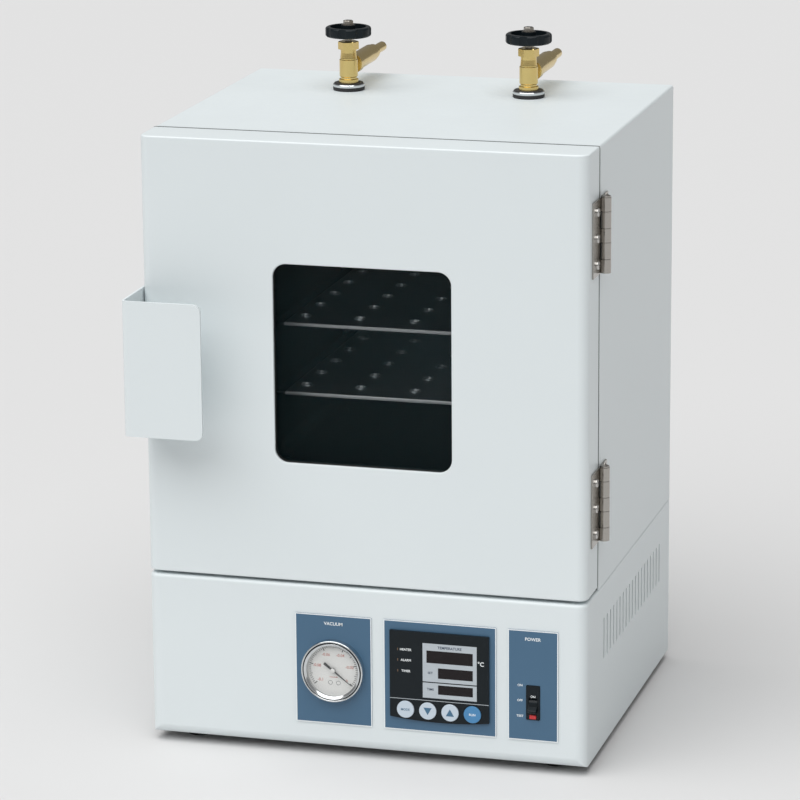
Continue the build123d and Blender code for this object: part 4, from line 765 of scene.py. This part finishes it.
def solid_polygon(outline, y_face, proud):
    """A flat plate of any outline in x and z: the outline at two depths, closed by a fan to each middle."""
    outline = np.asarray(outline, float)
    middle = np.repeat(outline.mean(axis=0)[None], len(outline), axis=0)
    rows = [(middle, 0.0), (outline, 0.0), (outline, proud), (middle, proud)]
    points = np.stack([at_depth(flat, y_face - out) for flat, out in rows])
    return points, grid_faces(len(rows), len(outline), False, True)


def text_mesh(words, place, height, y_face, thickness):
    """The mesh of some words, as high as asked, centred on a place in x and z and facing the front."""
    curve = bpy.data.curves.new("words", "FONT")
    curve.body = words
    curve.align_x, curve.align_y = "CENTER", "CENTER"
    curve.extrude = 0.5
    curve.offset = LETTER_WEIGHT
    curve.resolution_u = 3
    holder = bpy.data.objects.new("words", curve)
    bpy.context.scene.collection.objects.link(holder)
    bpy.context.view_layer.update()
    written = holder.evaluated_get(bpy.context.evaluated_depsgraph_get())
    mesh = bpy.data.meshes.new_from_object(written)
    bpy.data.objects.remove(holder)
    bpy.data.curves.remove(curve)
    points = np.zeros(len(mesh.vertices) * 3)
    mesh.vertices.foreach_get("co", points)
    points = points.reshape(-1, 3)
    low, high = points.min(axis=0), points.max(axis=0)
    middle = (low + high) / 2
    size = height / (high[1] - low[1])
    wide, tall = (points[:, 0] - middle[0]) * size, (points[:, 1] - middle[1]) * size
    depth = y_face - (points[:, 2] + 0.5) * thickness
    placed = np.column_stack([place[0] + wide, depth, place[1] + tall])
    mesh.vertices.foreach_set("co", placed.ravel())
    return mesh


def join_meshes(name, meshes):
    """One mesh from several."""
    joined = bmesh.new()
    for mesh in meshes:
        joined.from_mesh(mesh)
        bpy.data.meshes.remove(mesh)
    result = bpy.data.meshes.new(name)
    joined.to_mesh(result)
    joined.free()
    return result


def array_mesh(name, points, faces):
    """A bare mesh from arrays, to be joined with others."""
    mesh = bpy.data.meshes.new(name)
    mesh.from_pydata(points.reshape(-1, 3).tolist(), [], faces.tolist())
    return mesh


def print_words(name, items, finish_name, body, y_face):
    """Several words on one face as one piece: items are (words, (x, z), height)."""
    thickness = settings().sizes.print_thickness
    meshes = [text_mesh(words, place, height, y_face, thickness) for words, place, height in items]
    return settle(join_meshes(name, meshes), name, finish_name, body)


# ---------------------------------------------------------------- places read from the frame
def middle_of(node):
    """The middle of a node's box."""
    low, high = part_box(node)
    return (low + high) / 2


def front_of(node):
    """The y of a node's front."""
    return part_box(node)[0].y


# ---------------------------------------------------------------- operators
OWN_FINISHES = {
    "gauge_lens": "lens_glass", "gauge_bezel": "chrome", "port_collars": "chrome",
    "lower_shelf": "shelf_highlight_steel", "upper_shelf": "shelf_highlight_steel",
    "exhaust_spindle": "dark_steel", "vent_spindle": "dark_steel",
    "hinge_leaves_door": "hinge_steel", "hinge_leaves_case": "hinge_steel", "hinge_pins": "hinge_steel",
}


class OVEN_OT_dress(Operator):
    """Gives every CAD node the finish of its material slot, or its own where it has one"""

    bl_idname = "oven.dress"
    bl_label = "Dress CAD Parts"

    def execute(self, context):
        for part in frame["record"]["subparts"]:
            node = frame["nodes"][part["node"]]
            material = finish(OWN_FINISHES.get(part["node"], part["material_slot"]))
            if not node.material_slots:
                node.data.materials.append(material)
            for held in node.material_slots:
                held.material = material
        return {"FINISHED"}


class OVEN_OT_dial(Operator):
    """Prints the gauge's ticks and figures"""

    bl_idname = "oven.dial"
    bl_label = "Print Gauge Dial"

    def execute(self, context):
        sizes = settings().sizes
        centre = middle_of("gauge_dial")
        y_face = front_of("gauge_dial")
        fine = DIAL_SPANS * DIAL_SPAN_TICKS
        angle = DIAL_FIRST + (DIAL_LAST - DIAL_FIRST) * np.arange(fine + 1) / fine
        long = np.arange(fine + 1) % DIAL_SPAN_TICKS == 0
        half = np.arange(fine + 1) % (DIAL_SPAN_TICKS // 2) == 0
        plain = np.where(half, sizes.long_tick * HALF_TICK_SHARE, sizes.short_tick)
        length_of = np.where(long, sizes.long_tick, plain)
        out = np.column_stack([np.cos(angle), np.zeros_like(angle), np.sin(angle)])
        side = np.column_stack([-np.sin(angle), np.zeros_like(angle), np.cos(angle)])
        base = np.array([centre.x, y_face, centre.z])
        middles = base + out * (sizes.tick_radius - length_of / 2)[:, None]
        widths = np.where(long, sizes.tick_width, sizes.tick_width * THIN_TICK_SHARE)
        ticks = blocks(middles, out, side, length_of, widths, 0.0, sizes.print_thickness)
        make_piece("dial_ticks", *ticks, "print_grey", "cabinet", "dial_white", smooth=False)
        figures = []
        for index in range(DIAL_SPANS + 1):
            turn = DIAL_FIRST + (DIAL_LAST - DIAL_FIRST) * index / DIAL_SPANS
            words = "0" if index == 0 else f"-{index * DIAL_SPAN_VALUE:.2g}"
            radius = sizes.dial_number_radius
            place = (centre.x + radius * math.cos(turn), centre.z + radius * math.sin(turn))
            figures.append((words, place, sizes.dial_number_height))
        print_words("dial_figures", figures, "print_red", "cabinet", y_face)
        return {"FINISHED"}


class OVEN_OT_borders(Operator):
    """Prints a thin pale outline round each control plate"""

    bl_idname = "oven.borders"
    bl_label = "Print Plate Outlines"

    def execute(self, context):
        sizes = settings().sizes
        for node in ("gauge_panel", "controller_panel", "switch_panel"):
            low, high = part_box(node)
            centre = ((low.x + high.x) / 2, (low.z + high.z) / 2)
            line = outline_frame(
                centre, high.x - low.x, high.z - low.z, PLATE_CORNER, sizes.border_width, low.y,
                sizes.print_thickness,
            )
            make_piece(f"{node}_outline", *line, "print_white", "cabinet", "blue_paint", smooth=False)
        return {"FINISHED"}


class OVEN_OT_dial_marks(Operator):
    """Prints the small rings and marks below the gauge's arbor, and caps the pointer"""

    bl_idname = "oven.dial_marks"
    bl_label = "Print Gauge Marks"

    def execute(self, context):
        sizes = settings().sizes
        centre, y_face, ink = middle_of("gauge_dial"), front_of("gauge_dial"), sizes.print_thickness
        inner, outer = DIAL_RING_RADIUS - DIAL_RING_LINE, DIAL_RING_RADIUS
        section = [(inner, 0.0), (outer, 0.0), (outer, ink), (inner, ink)]
        rings = []
        for across, below in DIAL_RINGS:
            place = (centre.x + across, y_face, centre.z + below)
            rings.append(array_mesh("ring", *lathe(section, place, FORWARD, SMALL_TURN)))
        settle(join_meshes("dial_rings", rings), "dial_rings", "print_grey", "cabinet")
        words = [("VACUUM", (centre.x, centre.z + DIAL_UNIT_BELOW), DIAL_UNIT_HEIGHT)]
        print_words("dial_unit", words, "print_red", "cabinet", y_face)
        radius, place = sizes.arbor_cap, (centre.x, front_of("gauge_pointer"), centre.z)
        shoulder = (radius * CAP_SHOULDER_SHARE, CAP_SHOULDER)
        profile = [(0.0, 0.0), (radius, 0.0), (radius, CAP_EDGE), shoulder, (0.0, CAP_CROWN)]
        cap = lathe(profile, place, FORWARD, CAP_TURN)
        make_piece("pointer_cap", *cap, "dial_white", "pointer_body", "pointer_black")
        return {"FINISHED"}


class OVEN_OT_bezel(Operator):
    """Turns the gauge's bright ring: a round rim, a groove filled with black as a painted dark reflection,
    and an inner ring sloping to the lens
    """

    bl_idname = "oven.bezel"
    bl_label = "Turn Gauge Bezel"

    def execute(self, context):
        sizes = settings().sizes
        low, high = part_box("gauge_bezel")
        place = ((low.x + high.x) / 2, high.y, (low.z + high.z) / 2)
        radius, depth = (high.x - low.x) / 2, high.y - low.y - BEZEL_BEHIND
        rounding, inner = sizes.bezel_rim / 2, radius - sizes.bezel_rim
        step = inner - sizes.bezel_groove
        floor, lens_front = depth - BEZEL_GROOVE_DEEP, depth - BEZEL_LENS_DEEP
        turns = np.linspace(0.0, np.pi, CROWN_POINTS)
        crown_radius = inner + rounding + rounding * np.cos(turns)
        crown = np.column_stack([crown_radius, depth - rounding + rounding * np.sin(turns)])
        profile = [
            (sizes.bezel_seat, 0.0), (radius, 0.0), *crown, (inner, floor), (step, floor),
            (step, depth - BEZEL_STEP_DEEP), (step - BEZEL_STEP_BEVEL, depth),
            (step - BEZEL_STEP_FLAT, depth + BEZEL_STEP_BEVEL),
            (sizes.bezel_sight + BEZEL_SLOPE_FOOT, lens_front + BEZEL_SLOPE_FOOT),
            (sizes.bezel_sight, lens_front + LENS_CLEARANCE),
            (sizes.bezel_seat, lens_front + LENS_CLEARANCE),
        ]
        turned = lathe(profile, place, FORWARD, BEZEL_TURN)
        ring = make_piece("bezel_ring", *turned, "chrome", "cabinet", "bright_steel")
        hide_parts("gauge_bezel")
        # the groove's black filling is a painted dark reflection in the chrome ring
        near, far, top = step + GROOVE_CLEARANCE, inner - GROOVE_CLEARANCE, floor + GROOVE_FILL
        filling = lathe([(near, floor), (far, floor), (far, top), (near, top)], place, FORWARD, BEZEL_TURN)
        make_piece("bezel_groove", *filling, "edge_foam", "cabinet", "black_rubber")
        return {"FINISHED"}


class OVEN_OT_plate_words(Operator):
    """Prints the words on the gauge's and the switch's plates and on the breaker"""

    bl_idname = "oven.plate_words"
    bl_label = "Print Plate Words"

    def execute(self, context):
        sizes = settings().sizes
        gauge_low, gauge_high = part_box("gauge_panel")
        switch_low, switch_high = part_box("switch_panel")
        nose = middle_of("breaker_body")
        lever, button = middle_of("breaker_lever"), middle_of("test_button")
        left = nose.x - SWITCH_WORDS_LEFT
        gauge_place = ((gauge_low.x + gauge_high.x) / 2, gauge_high.z - TITLE_BELOW_EDGE)
        switch_place = ((switch_low.x + switch_high.x) / 2, switch_high.z - TITLE_BELOW_EDGE)
        gauge_words = [("VACUUM", gauge_place, sizes.word_height)]
        print_words("gauge_title", gauge_words, "print_white", "cabinet", gauge_low.y)
        switch_words = [
            ("POWER", switch_place, sizes.word_height),
            ("ON", (left, nose.z + SWITCH_ON_ABOVE), sizes.small_word_height),
            ("OFF", (left, nose.z + SWITCH_OFF_ABOVE), sizes.small_word_height),
            ("TEST", (left, button.z), sizes.small_word_height),
        ]
        print_words("switch_words", switch_words, "print_white", "cabinet", switch_low.y)
        mark = [("ON", (lever.x, nose.z + SWITCH_MARK_ABOVE), sizes.small_word_height)]
        nose_front = front_of("breaker_body")
        print_words("breaker_mark", mark, "print_white", "cabinet", nose_front)
        return {"FINISHED"}


class OVEN_OT_controller(Operator):
    """Fits the silver surround, the lamps and the printed words on the controller's front"""

    bl_idname = "oven.controller"
    bl_label = "Fit Controller Front"

    def execute(self, context):
        sizes = settings().sizes
        y_face = front_of("controller_face")
        face_low, face_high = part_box("controller_face")
        low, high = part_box("display_windows")
        ink = sizes.print_thickness
        across = [low.x - SURROUND_SIDE, low.x, low.x + SMALL_WINDOW_INSET, high.x, high.x + SURROUND_SIDE]
        top = [low.z + z for z in TALL_WINDOW_Z]
        middle = [low.z + z for z in MIDDLE_WINDOW_Z]
        split = low.z + SURROUND_SPLIT_Z
        gap = SURROUND_GAP / 2
        upper_rows = [split + gap, *middle, *top, high.z + SURROUND_TOP]
        upper = np.ones((4, 5), bool)
        upper[2, 1] = False
        upper[1:3, 3] = False
        lower_rows = [low.z - SURROUND_FOOT, low.z, low.z + LOW_WINDOW_TALL, split - gap]
        lower = np.ones((4, 3), bool)
        lower[2, 1] = False
        plates = [
            array_mesh("plate", *pierced_plate(across, rows, held, y_face, SURROUND_PROUD))
            for rows, held in ((upper_rows, upper), (lower_rows, lower))
        ]
        surround = join_meshes("display_surround", plates)
        settle(surround, "display_surround", "surround_silver", "cabinet")
        small = sizes.small_word_height
        left_words = (across[0] + across[2]) / 2
        title_place = ((low.x + high.x) / 2, high.z + SURROUND_TOP / 2)
        surround_words = [
            ("TEMPERATURE", title_place, small * SURROUND_TITLE_SHARE),
            ("SET", (left_words, sum(middle) / 2), small),
            ("TIME", (left_words, low.z + LOW_WINDOW_TALL / 2), small),
        ]
        surround_front = y_face - SURROUND_PROUD
        print_words("surround_words", surround_words, "print_dark", "cabinet", surround_front)
        lamp_x = face_low.x + LAMP_INSET
        levels = [high.z + above for above in LAMP_LEVELS]
        lamps = np.array([(lamp_x, y_face, level) for level in levels])
        bars = blocks(lamps, (1, 0, 0), (0, 0, 1), LAMP_WIDTH, LAMP_HEIGHT, 0.0, 2 * ink)
        make_piece("controller_lamps", *bars, "lamp_dark", "cabinet", "display_tint", smooth=False)
        lamp_words = zip(("HEATER", "ALARM", "TIMER"), levels)
        words = [(word, (lamp_x + LAMP_WORD_GAP, level), small) for word, level in lamp_words]
        words.append(("\u00b0C", (high.x + UNIT_RIGHT, high.z - UNIT_BELOW), UNIT_HEIGHT))
        print_words("controller_words", words, "print_white", "cabinet", y_face)
        line_z = middle_of("mode_key").z + DIVIDER_ABOVE_KEYS
        centre = np.array([((face_low.x + face_high.x) / 2, y_face, line_z)])
        line = blocks(centre, (1, 0, 0), (0, 0, 1), face_high.x - face_low.x, DIVIDER_WIDTH, 0.0, ink)
        make_piece("controller_divider", *line, "surround_silver", "cabinet", "black_plastic", smooth=False)
        return {"FINISHED"}


class OVEN_OT_keys(Operator):
    """Prints a mark on each of the controller's keys, which rides on its key"""

    bl_idname = "oven.keys"
    bl_label = "Print Key Marks"

    def execute(self, context):
        sizes = settings().sizes
        half = KEY_TRIANGLE / 2
        for name, way in (("down", -1), ("up", 1)):
            centre, y_face = middle_of(f"{name}_key"), front_of(f"{name}_key")
            foot, tip = -way * half * TRIANGLE_FOOT_SHARE, way * half * TRIANGLE_TIP_SHARE
            outline = [(centre.x + x, centre.z + z) for x, z in ((-half, foot), (half, foot), (0.0, tip))]
            plate = solid_polygon(outline, y_face, sizes.print_thickness)
            make_piece(f"{name}_key_mark", *plate, "key_print", f"{name}_key_body", "key_white", smooth=False)
        for name, ink, slot in (("mode", "key_print", "key_white"), ("run", "print_white", "key_blue")):
            centre, y_face = middle_of(f"{name}_key"), front_of(f"{name}_key")
            words = [(name.upper(), (centre.x, centre.z), sizes.small_word_height)]
            print_words(f"{name}_key_mark", words, ink, f"{name}_key_body", y_face)
        return {"FINISHED"}


class OVEN_OT_fittings(Operator):
    """Fits the hexagon nuts of the handwheels, and paints the shade in the screws' cross recesses as dark
    bars
    """

    bl_idname = "oven.fittings"
    bl_label = "Fit Nuts and Recesses"

    def execute(self, context):
        sizes = settings().sizes
        corner, bore, top = sizes.nut_radius, NUT_BORE, NUT_HEIGHT
        bevelled = [(corner, top - NUT_BEVEL), (corner - NUT_BEVEL, top)]
        section = [(bore, 0.0), (corner, 0.0), *bevelled, (bore, top)]
        for name in ("exhaust", "vent"):
            high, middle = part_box(f"{name}_spindle")[1], middle_of(f"{name}_spindle")
            place = (middle.x, middle.y, high.z - NUT_HEIGHT + NUT_PROUD)
            nut = lathe(section, place, (0, 0, 1), NUT_SIDES)
            make_piece(f"{name}_nut", *nut, "dark_steel", f"{name}_wheel_body", "bright_steel", smooth=False)
        self.recess("door_screw_recesses", "door", self.door_heads())
        self.recess("case_screw_recesses", "cabinet", self.case_heads())
        return {"FINISHED"}

    def hinge_levels(self, node):
        """The heights of the screw heads on one node of hinge leaves: two leaves with three heads each."""
        sizes = settings().sizes
        low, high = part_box(node)
        leaves = (low.z + sizes.hinge_length / 2, high.z - sizes.hinge_length / 2)
        return [level + k * sizes.hinge_pitch for level in leaves for k in (-1, 0, 1)]

    def door_heads(self):
        """The heads on the door: its hinge leaves' on the right, and the handle's on the left."""
        low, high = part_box("door_screws")
        handle_low, handle_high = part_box("door_handle")
        y_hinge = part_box("hinge_leaves_door")[0].y + DOOR_LEAF_SCREW
        right = [((high.x, y_hinge, z), (1, 0, 0)) for z in self.hinge_levels("hinge_leaves_door")]
        middle = (handle_low.z + handle_high.z) / 2
        reach = (handle_high.z - handle_low.z) * HANDLE_SCREW_SHARE
        y_handle = front_of("door_skin") + HANDLE_SCREW_BACK
        left = [((low.x, y_handle, middle + k * reach), (-1, 0, 0)) for k in (-1, 1)]
        return right + left

    def case_heads(self):
        """The heads on the cabinet's hinge leaves."""
        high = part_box("case_screws")[1]
        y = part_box("hinge_leaves_case")[1].y - CASE_LEAF_SCREW
        return [((high.x, y, z), (1, 0, 0)) for z in self.hinge_levels("hinge_leaves_case")]

    def recess(self, name, body, heads):
        """Two crossed dark bars on every head: painted shade of a cross recess, barely proud of the head."""
        sizes = settings().sizes
        slot_size = (sizes.recess_length, sizes.recess_width, 0.0, RECESS_PROUD)
        upright, level = (0, 0, 1), (0, 1, 0)
        meshes = []
        for place, outward in heads:
            for along, across in ((upright, level), (level, upright)):
                bar = blocks([place], [along], [across], *slot_size, outward)
                meshes.append(array_mesh("bar", *bar))
        settle(join_meshes(name, meshes), name, "recess_painted_shade", body)


class OVEN_OT_door(Operator):
    """Folds the door's skin: wide upright bends, tight folds above and below, and a rolled window rim"""

    bl_idname = "oven.door"
    bl_label = "Fold Door Skin"

    def execute(self, context):
        sizes = settings().sizes
        low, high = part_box("door_skin")
        cover_low, cover_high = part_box("window_cover")
        width = cover_high.x - cover_low.x - 2 * sizes.cover_margin
        height = cover_high.z - cover_low.z - 2 * sizes.cover_margin
        opening = (width, height, sizes.window_corner)
        folds = (sizes.door_bend, sizes.door_fold)
        patches = folded_shell(low, high, *folds, opening, sizes.rim_round, sizes.rim_depth)
        mesh = join_meshes("door_shell", [array_mesh("patch", *patch) for patch in patches])
        shell = settle(mesh, "door_shell", "enamel", "door", smooth=True)
        sheet = shell.modifiers.new("sheet", "SOLIDIFY")
        sheet.thickness = sizes.sheet
        sheet.offset = -1.0
        even = shell.modifiers.new("even_normals", "WEIGHTED_NORMAL")
        even.keep_sharp = True
        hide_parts("door_skin")
        centre = ((low.x + high.x) / 2, (cover_low.z + cover_high.z) / 2)
        # a black band behind the window's rim: partly a gasket, partly painted shade round the opening's edge
        band = sizes.gasket_band
        gasket_front = low.y + sizes.rim_depth + GASKET_CLEARANCE
        gasket_back = cover_low.y - GASKET_CLEARANCE
        gasket = outline_frame(
            centre, width + 2 * band, height + 2 * band, sizes.window_corner + band, band, gasket_back,
            gasket_back - gasket_front,
        )
        make_piece("window_gasket", *gasket, "edge_foam", "door", "black_rubber", smooth=False)
        return {"FINISHED"}


class OVEN_OT_hems(Operator):
    """Lays the rolled hem along the front of each shelf, in a paler steel than the shelf's: a painted
    highlight on its front edge
    """

    bl_idname = "oven.hems"
    bl_label = "Lay Shelf Hems"

    def execute(self, context):
        sizes = settings().sizes
        turns = np.linspace(-np.pi / 2, np.pi / 2, CROWN_POINTS)
        radius = sizes.hem_height / 2
        crown = [(radius * math.cos(a) * HEM_BULGE, radius * math.sin(a)) for a in turns]
        out, up = np.array([*crown, (-HEM_INTO_SHELF, radius), (-HEM_INTO_SHELF, -radius)]).T
        for name in ("lower_shelf", "upper_shelf"):
            low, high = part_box(name)
            level = high.z - sizes.hem_below - radius
            ends = (low.x + HEM_SHORT, high.x - HEM_SHORT)
            sections = [np.column_stack([np.full(len(out), x), low.y - out, level + up]) for x in ends]
            first, last = (np.repeat(held.mean(axis=0)[None], len(out), axis=0) for held in sections)
            points = np.stack([first, *sections, last])
            faces = grid_faces(len(points), len(out), False, True)
            make_piece(f"{name}_hem", points, faces, "hem_painted_highlight", "cabinet", "bright_steel")
        return {"FINISHED"}


class OVEN_OT_strips(Operator):
    """Lays black strips in the gap between the door and the case, as painted shade in the gap"""

    bl_idname = "oven.strips"
    bl_label = "Lay Edge Strips"

    def execute(self, context):
        low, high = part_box("door_skin")
        panel_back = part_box("door_inner_panel")[1].y
        seam = panel_back - STRIP_SEAM
        wide = (seam - DOOR_STRIP_WIDE, seam)
        door = rim_strip(low, high, STRIP_CORNER, -STRIP_PROUD, STRIP_THICKNESS, *wide)
        make_piece("door_shade_strip", *door, "edge_foam", "door", "black_rubber", smooth=False)
        low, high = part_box("outer_case")
        inset = settings().sizes.edge_strip + CASE_STRIP_INSET
        wide = (panel_back + CASE_STRIP_GAP, low.y - CASE_STRIP_CLEARANCE)
        case = rim_strip(low, high, CASE_STRIP_CORNER, inset, CASE_STRIP_THICKNESS, *wide)
        make_piece("case_shade_strip", *case, "edge_foam", "cabinet", "black_rubber", smooth=False)
        return {"FINISHED"}


class OVEN_OT_stage(Operator):
    """Lays the floor, lights the oven and sets the camera"""

    bl_idname = "oven.stage"
    bl_label = "Set Stage"

    def execute(self, context):
        lay_floor()
        light_scene()
        aim_camera()
        context.scene.view_settings.view_transform = "Standard"
        return {"FINISHED"}


def lay_floor():
    """A plain pale floor, the top of a very thin slab."""
    stage = settings().stage
    half = stage.floor_size / 2
    grid = np.array([[(-half, -half, 0), (half, -half, 0)], [(-half, half, 0), (half, half, 0)]], float)
    mesh = array_mesh("floor", grid, grid_faces(2, 2))
    floor = bpy.data.objects.new("floor", mesh)
    bpy.context.scene.collection.objects.link(floor)
    material = bpy.data.materials.new("floor")
    material.use_nodes = True
    shader = material.node_tree.nodes["Principled BSDF"]
    shader.inputs["Base Color"].default_value = opaque(stage.floor_colour)
    shader.inputs["Roughness"].default_value = 0.9
    mesh.materials.append(material)


def light_scene():
    """A soft sky all round and one broad key light from the upper left."""
    stage = settings().stage
    world = bpy.data.worlds.new("soft_sky")
    world.use_nodes = True
    tree = world.node_tree
    tree.nodes.clear()
    sky = put(tree, "ShaderNodeBackground", {"Color": (1, 1, 1, 1), "Strength": stage.sky_strength})
    put(tree, "ShaderNodeOutputWorld", {"Surface": sky.outputs[0]})
    bpy.context.scene.world = world
    lamp = bpy.data.lights.new("key_light", "SUN")
    lamp.energy = stage.sun_strength
    lamp.angle = math.radians(stage.sun_angle)
    key = bpy.data.objects.new("key_light", lamp)
    key.rotation_mode = "QUATERNION"
    key.rotation_quaternion = Vector(KEY_LIGHT_FROM).to_track_quat("Z", "Y")
    bpy.context.scene.collection.objects.link(key)


def aim_camera():
    """A long lens in front, a little to the right and above, turned by azimuth, elevation and roll."""
    lens = bpy.data.cameras.new("camera")
    lens.lens = settings().stage.lens
    lens.sensor_width = SENSOR_WIDTH
    camera = bpy.data.objects.new("camera", lens)
    azimuth, elevation, roll = CAMERA_AZIMUTH, CAMERA_ELEVATION, CAMERA_ROLL
    level = math.cos(elevation)
    back = Vector((math.sin(azimuth) * level, -math.cos(azimuth) * level, math.sin(elevation)))
    right = Vector((math.cos(azimuth), math.sin(azimuth), 0.0))
    up = back.cross(right)
    tilted_right = right * math.cos(roll) + up * math.sin(roll)
    tilted_up = up * math.cos(roll) - right * math.sin(roll)
    axes = Matrix((tilted_right, tilted_up, back)).transposed()
    camera.matrix_world = Matrix.Translation(CAMERA_PLACE) @ axes.to_4x4()
    bpy.context.scene.collection.objects.link(camera)
    bpy.context.scene.camera = camera


class OVEN_PT_panel(Panel):
    """The oven's operators and settings in the 3D view's sidebar"""

    bl_idname = "OVEN_PT_panel"
    bl_label = "Vacuum Oven"
    bl_space_type = "VIEW_3D"
    bl_region_type = "UI"
    bl_category = "Oven"

    def draw(self, context):
        for operator in OPERATORS:
            self.layout.operator(operator.bl_idname)
        for group in ("colours", "sizes", "stage"):
            box = self.layout.box()
            held = getattr(context.scene.oven_settings, group)
            for name in held.__annotations__:
                box.prop(held, name)


OPERATORS = (
    OVEN_OT_dress, OVEN_OT_dial, OVEN_OT_dial_marks, OVEN_OT_borders, OVEN_OT_bezel, OVEN_OT_plate_words,
    OVEN_OT_controller, OVEN_OT_keys, OVEN_OT_fittings, OVEN_OT_door, OVEN_OT_hems, OVEN_OT_strips,
    OVEN_OT_stage,
)
CLASSES = (OvenColours, OvenSizes, OvenStage, OvenSettings, *OPERATORS, OVEN_PT_panel)


def register():
    """Registers the classes and hangs the settings on the scene."""
    for cls in CLASSES:
        bpy.utils.register_class(cls)
    bpy.types.Scene.oven_settings = PointerProperty(type=OvenSettings)


def unregister():
    """Undoes register."""
    del bpy.types.Scene.oven_settings
    for cls in reversed(CLASSES):
        bpy.utils.unregister_class(cls)


def main():
    """Dresses the oven, one operator after another."""
    register()
    bpy.ops.oven.dress()
    bpy.ops.oven.dial()
    bpy.ops.oven.dial_marks()
    bpy.ops.oven.borders()
    bpy.ops.oven.bezel()
    bpy.ops.oven.plate_words()
    bpy.ops.oven.controller()
    bpy.ops.oven.keys()
    bpy.ops.oven.fittings()
    bpy.ops.oven.door()
    bpy.ops.oven.hems()
    bpy.ops.oven.strips()
    bpy.ops.oven.stage()


if __name__ == "__main__":
    main()
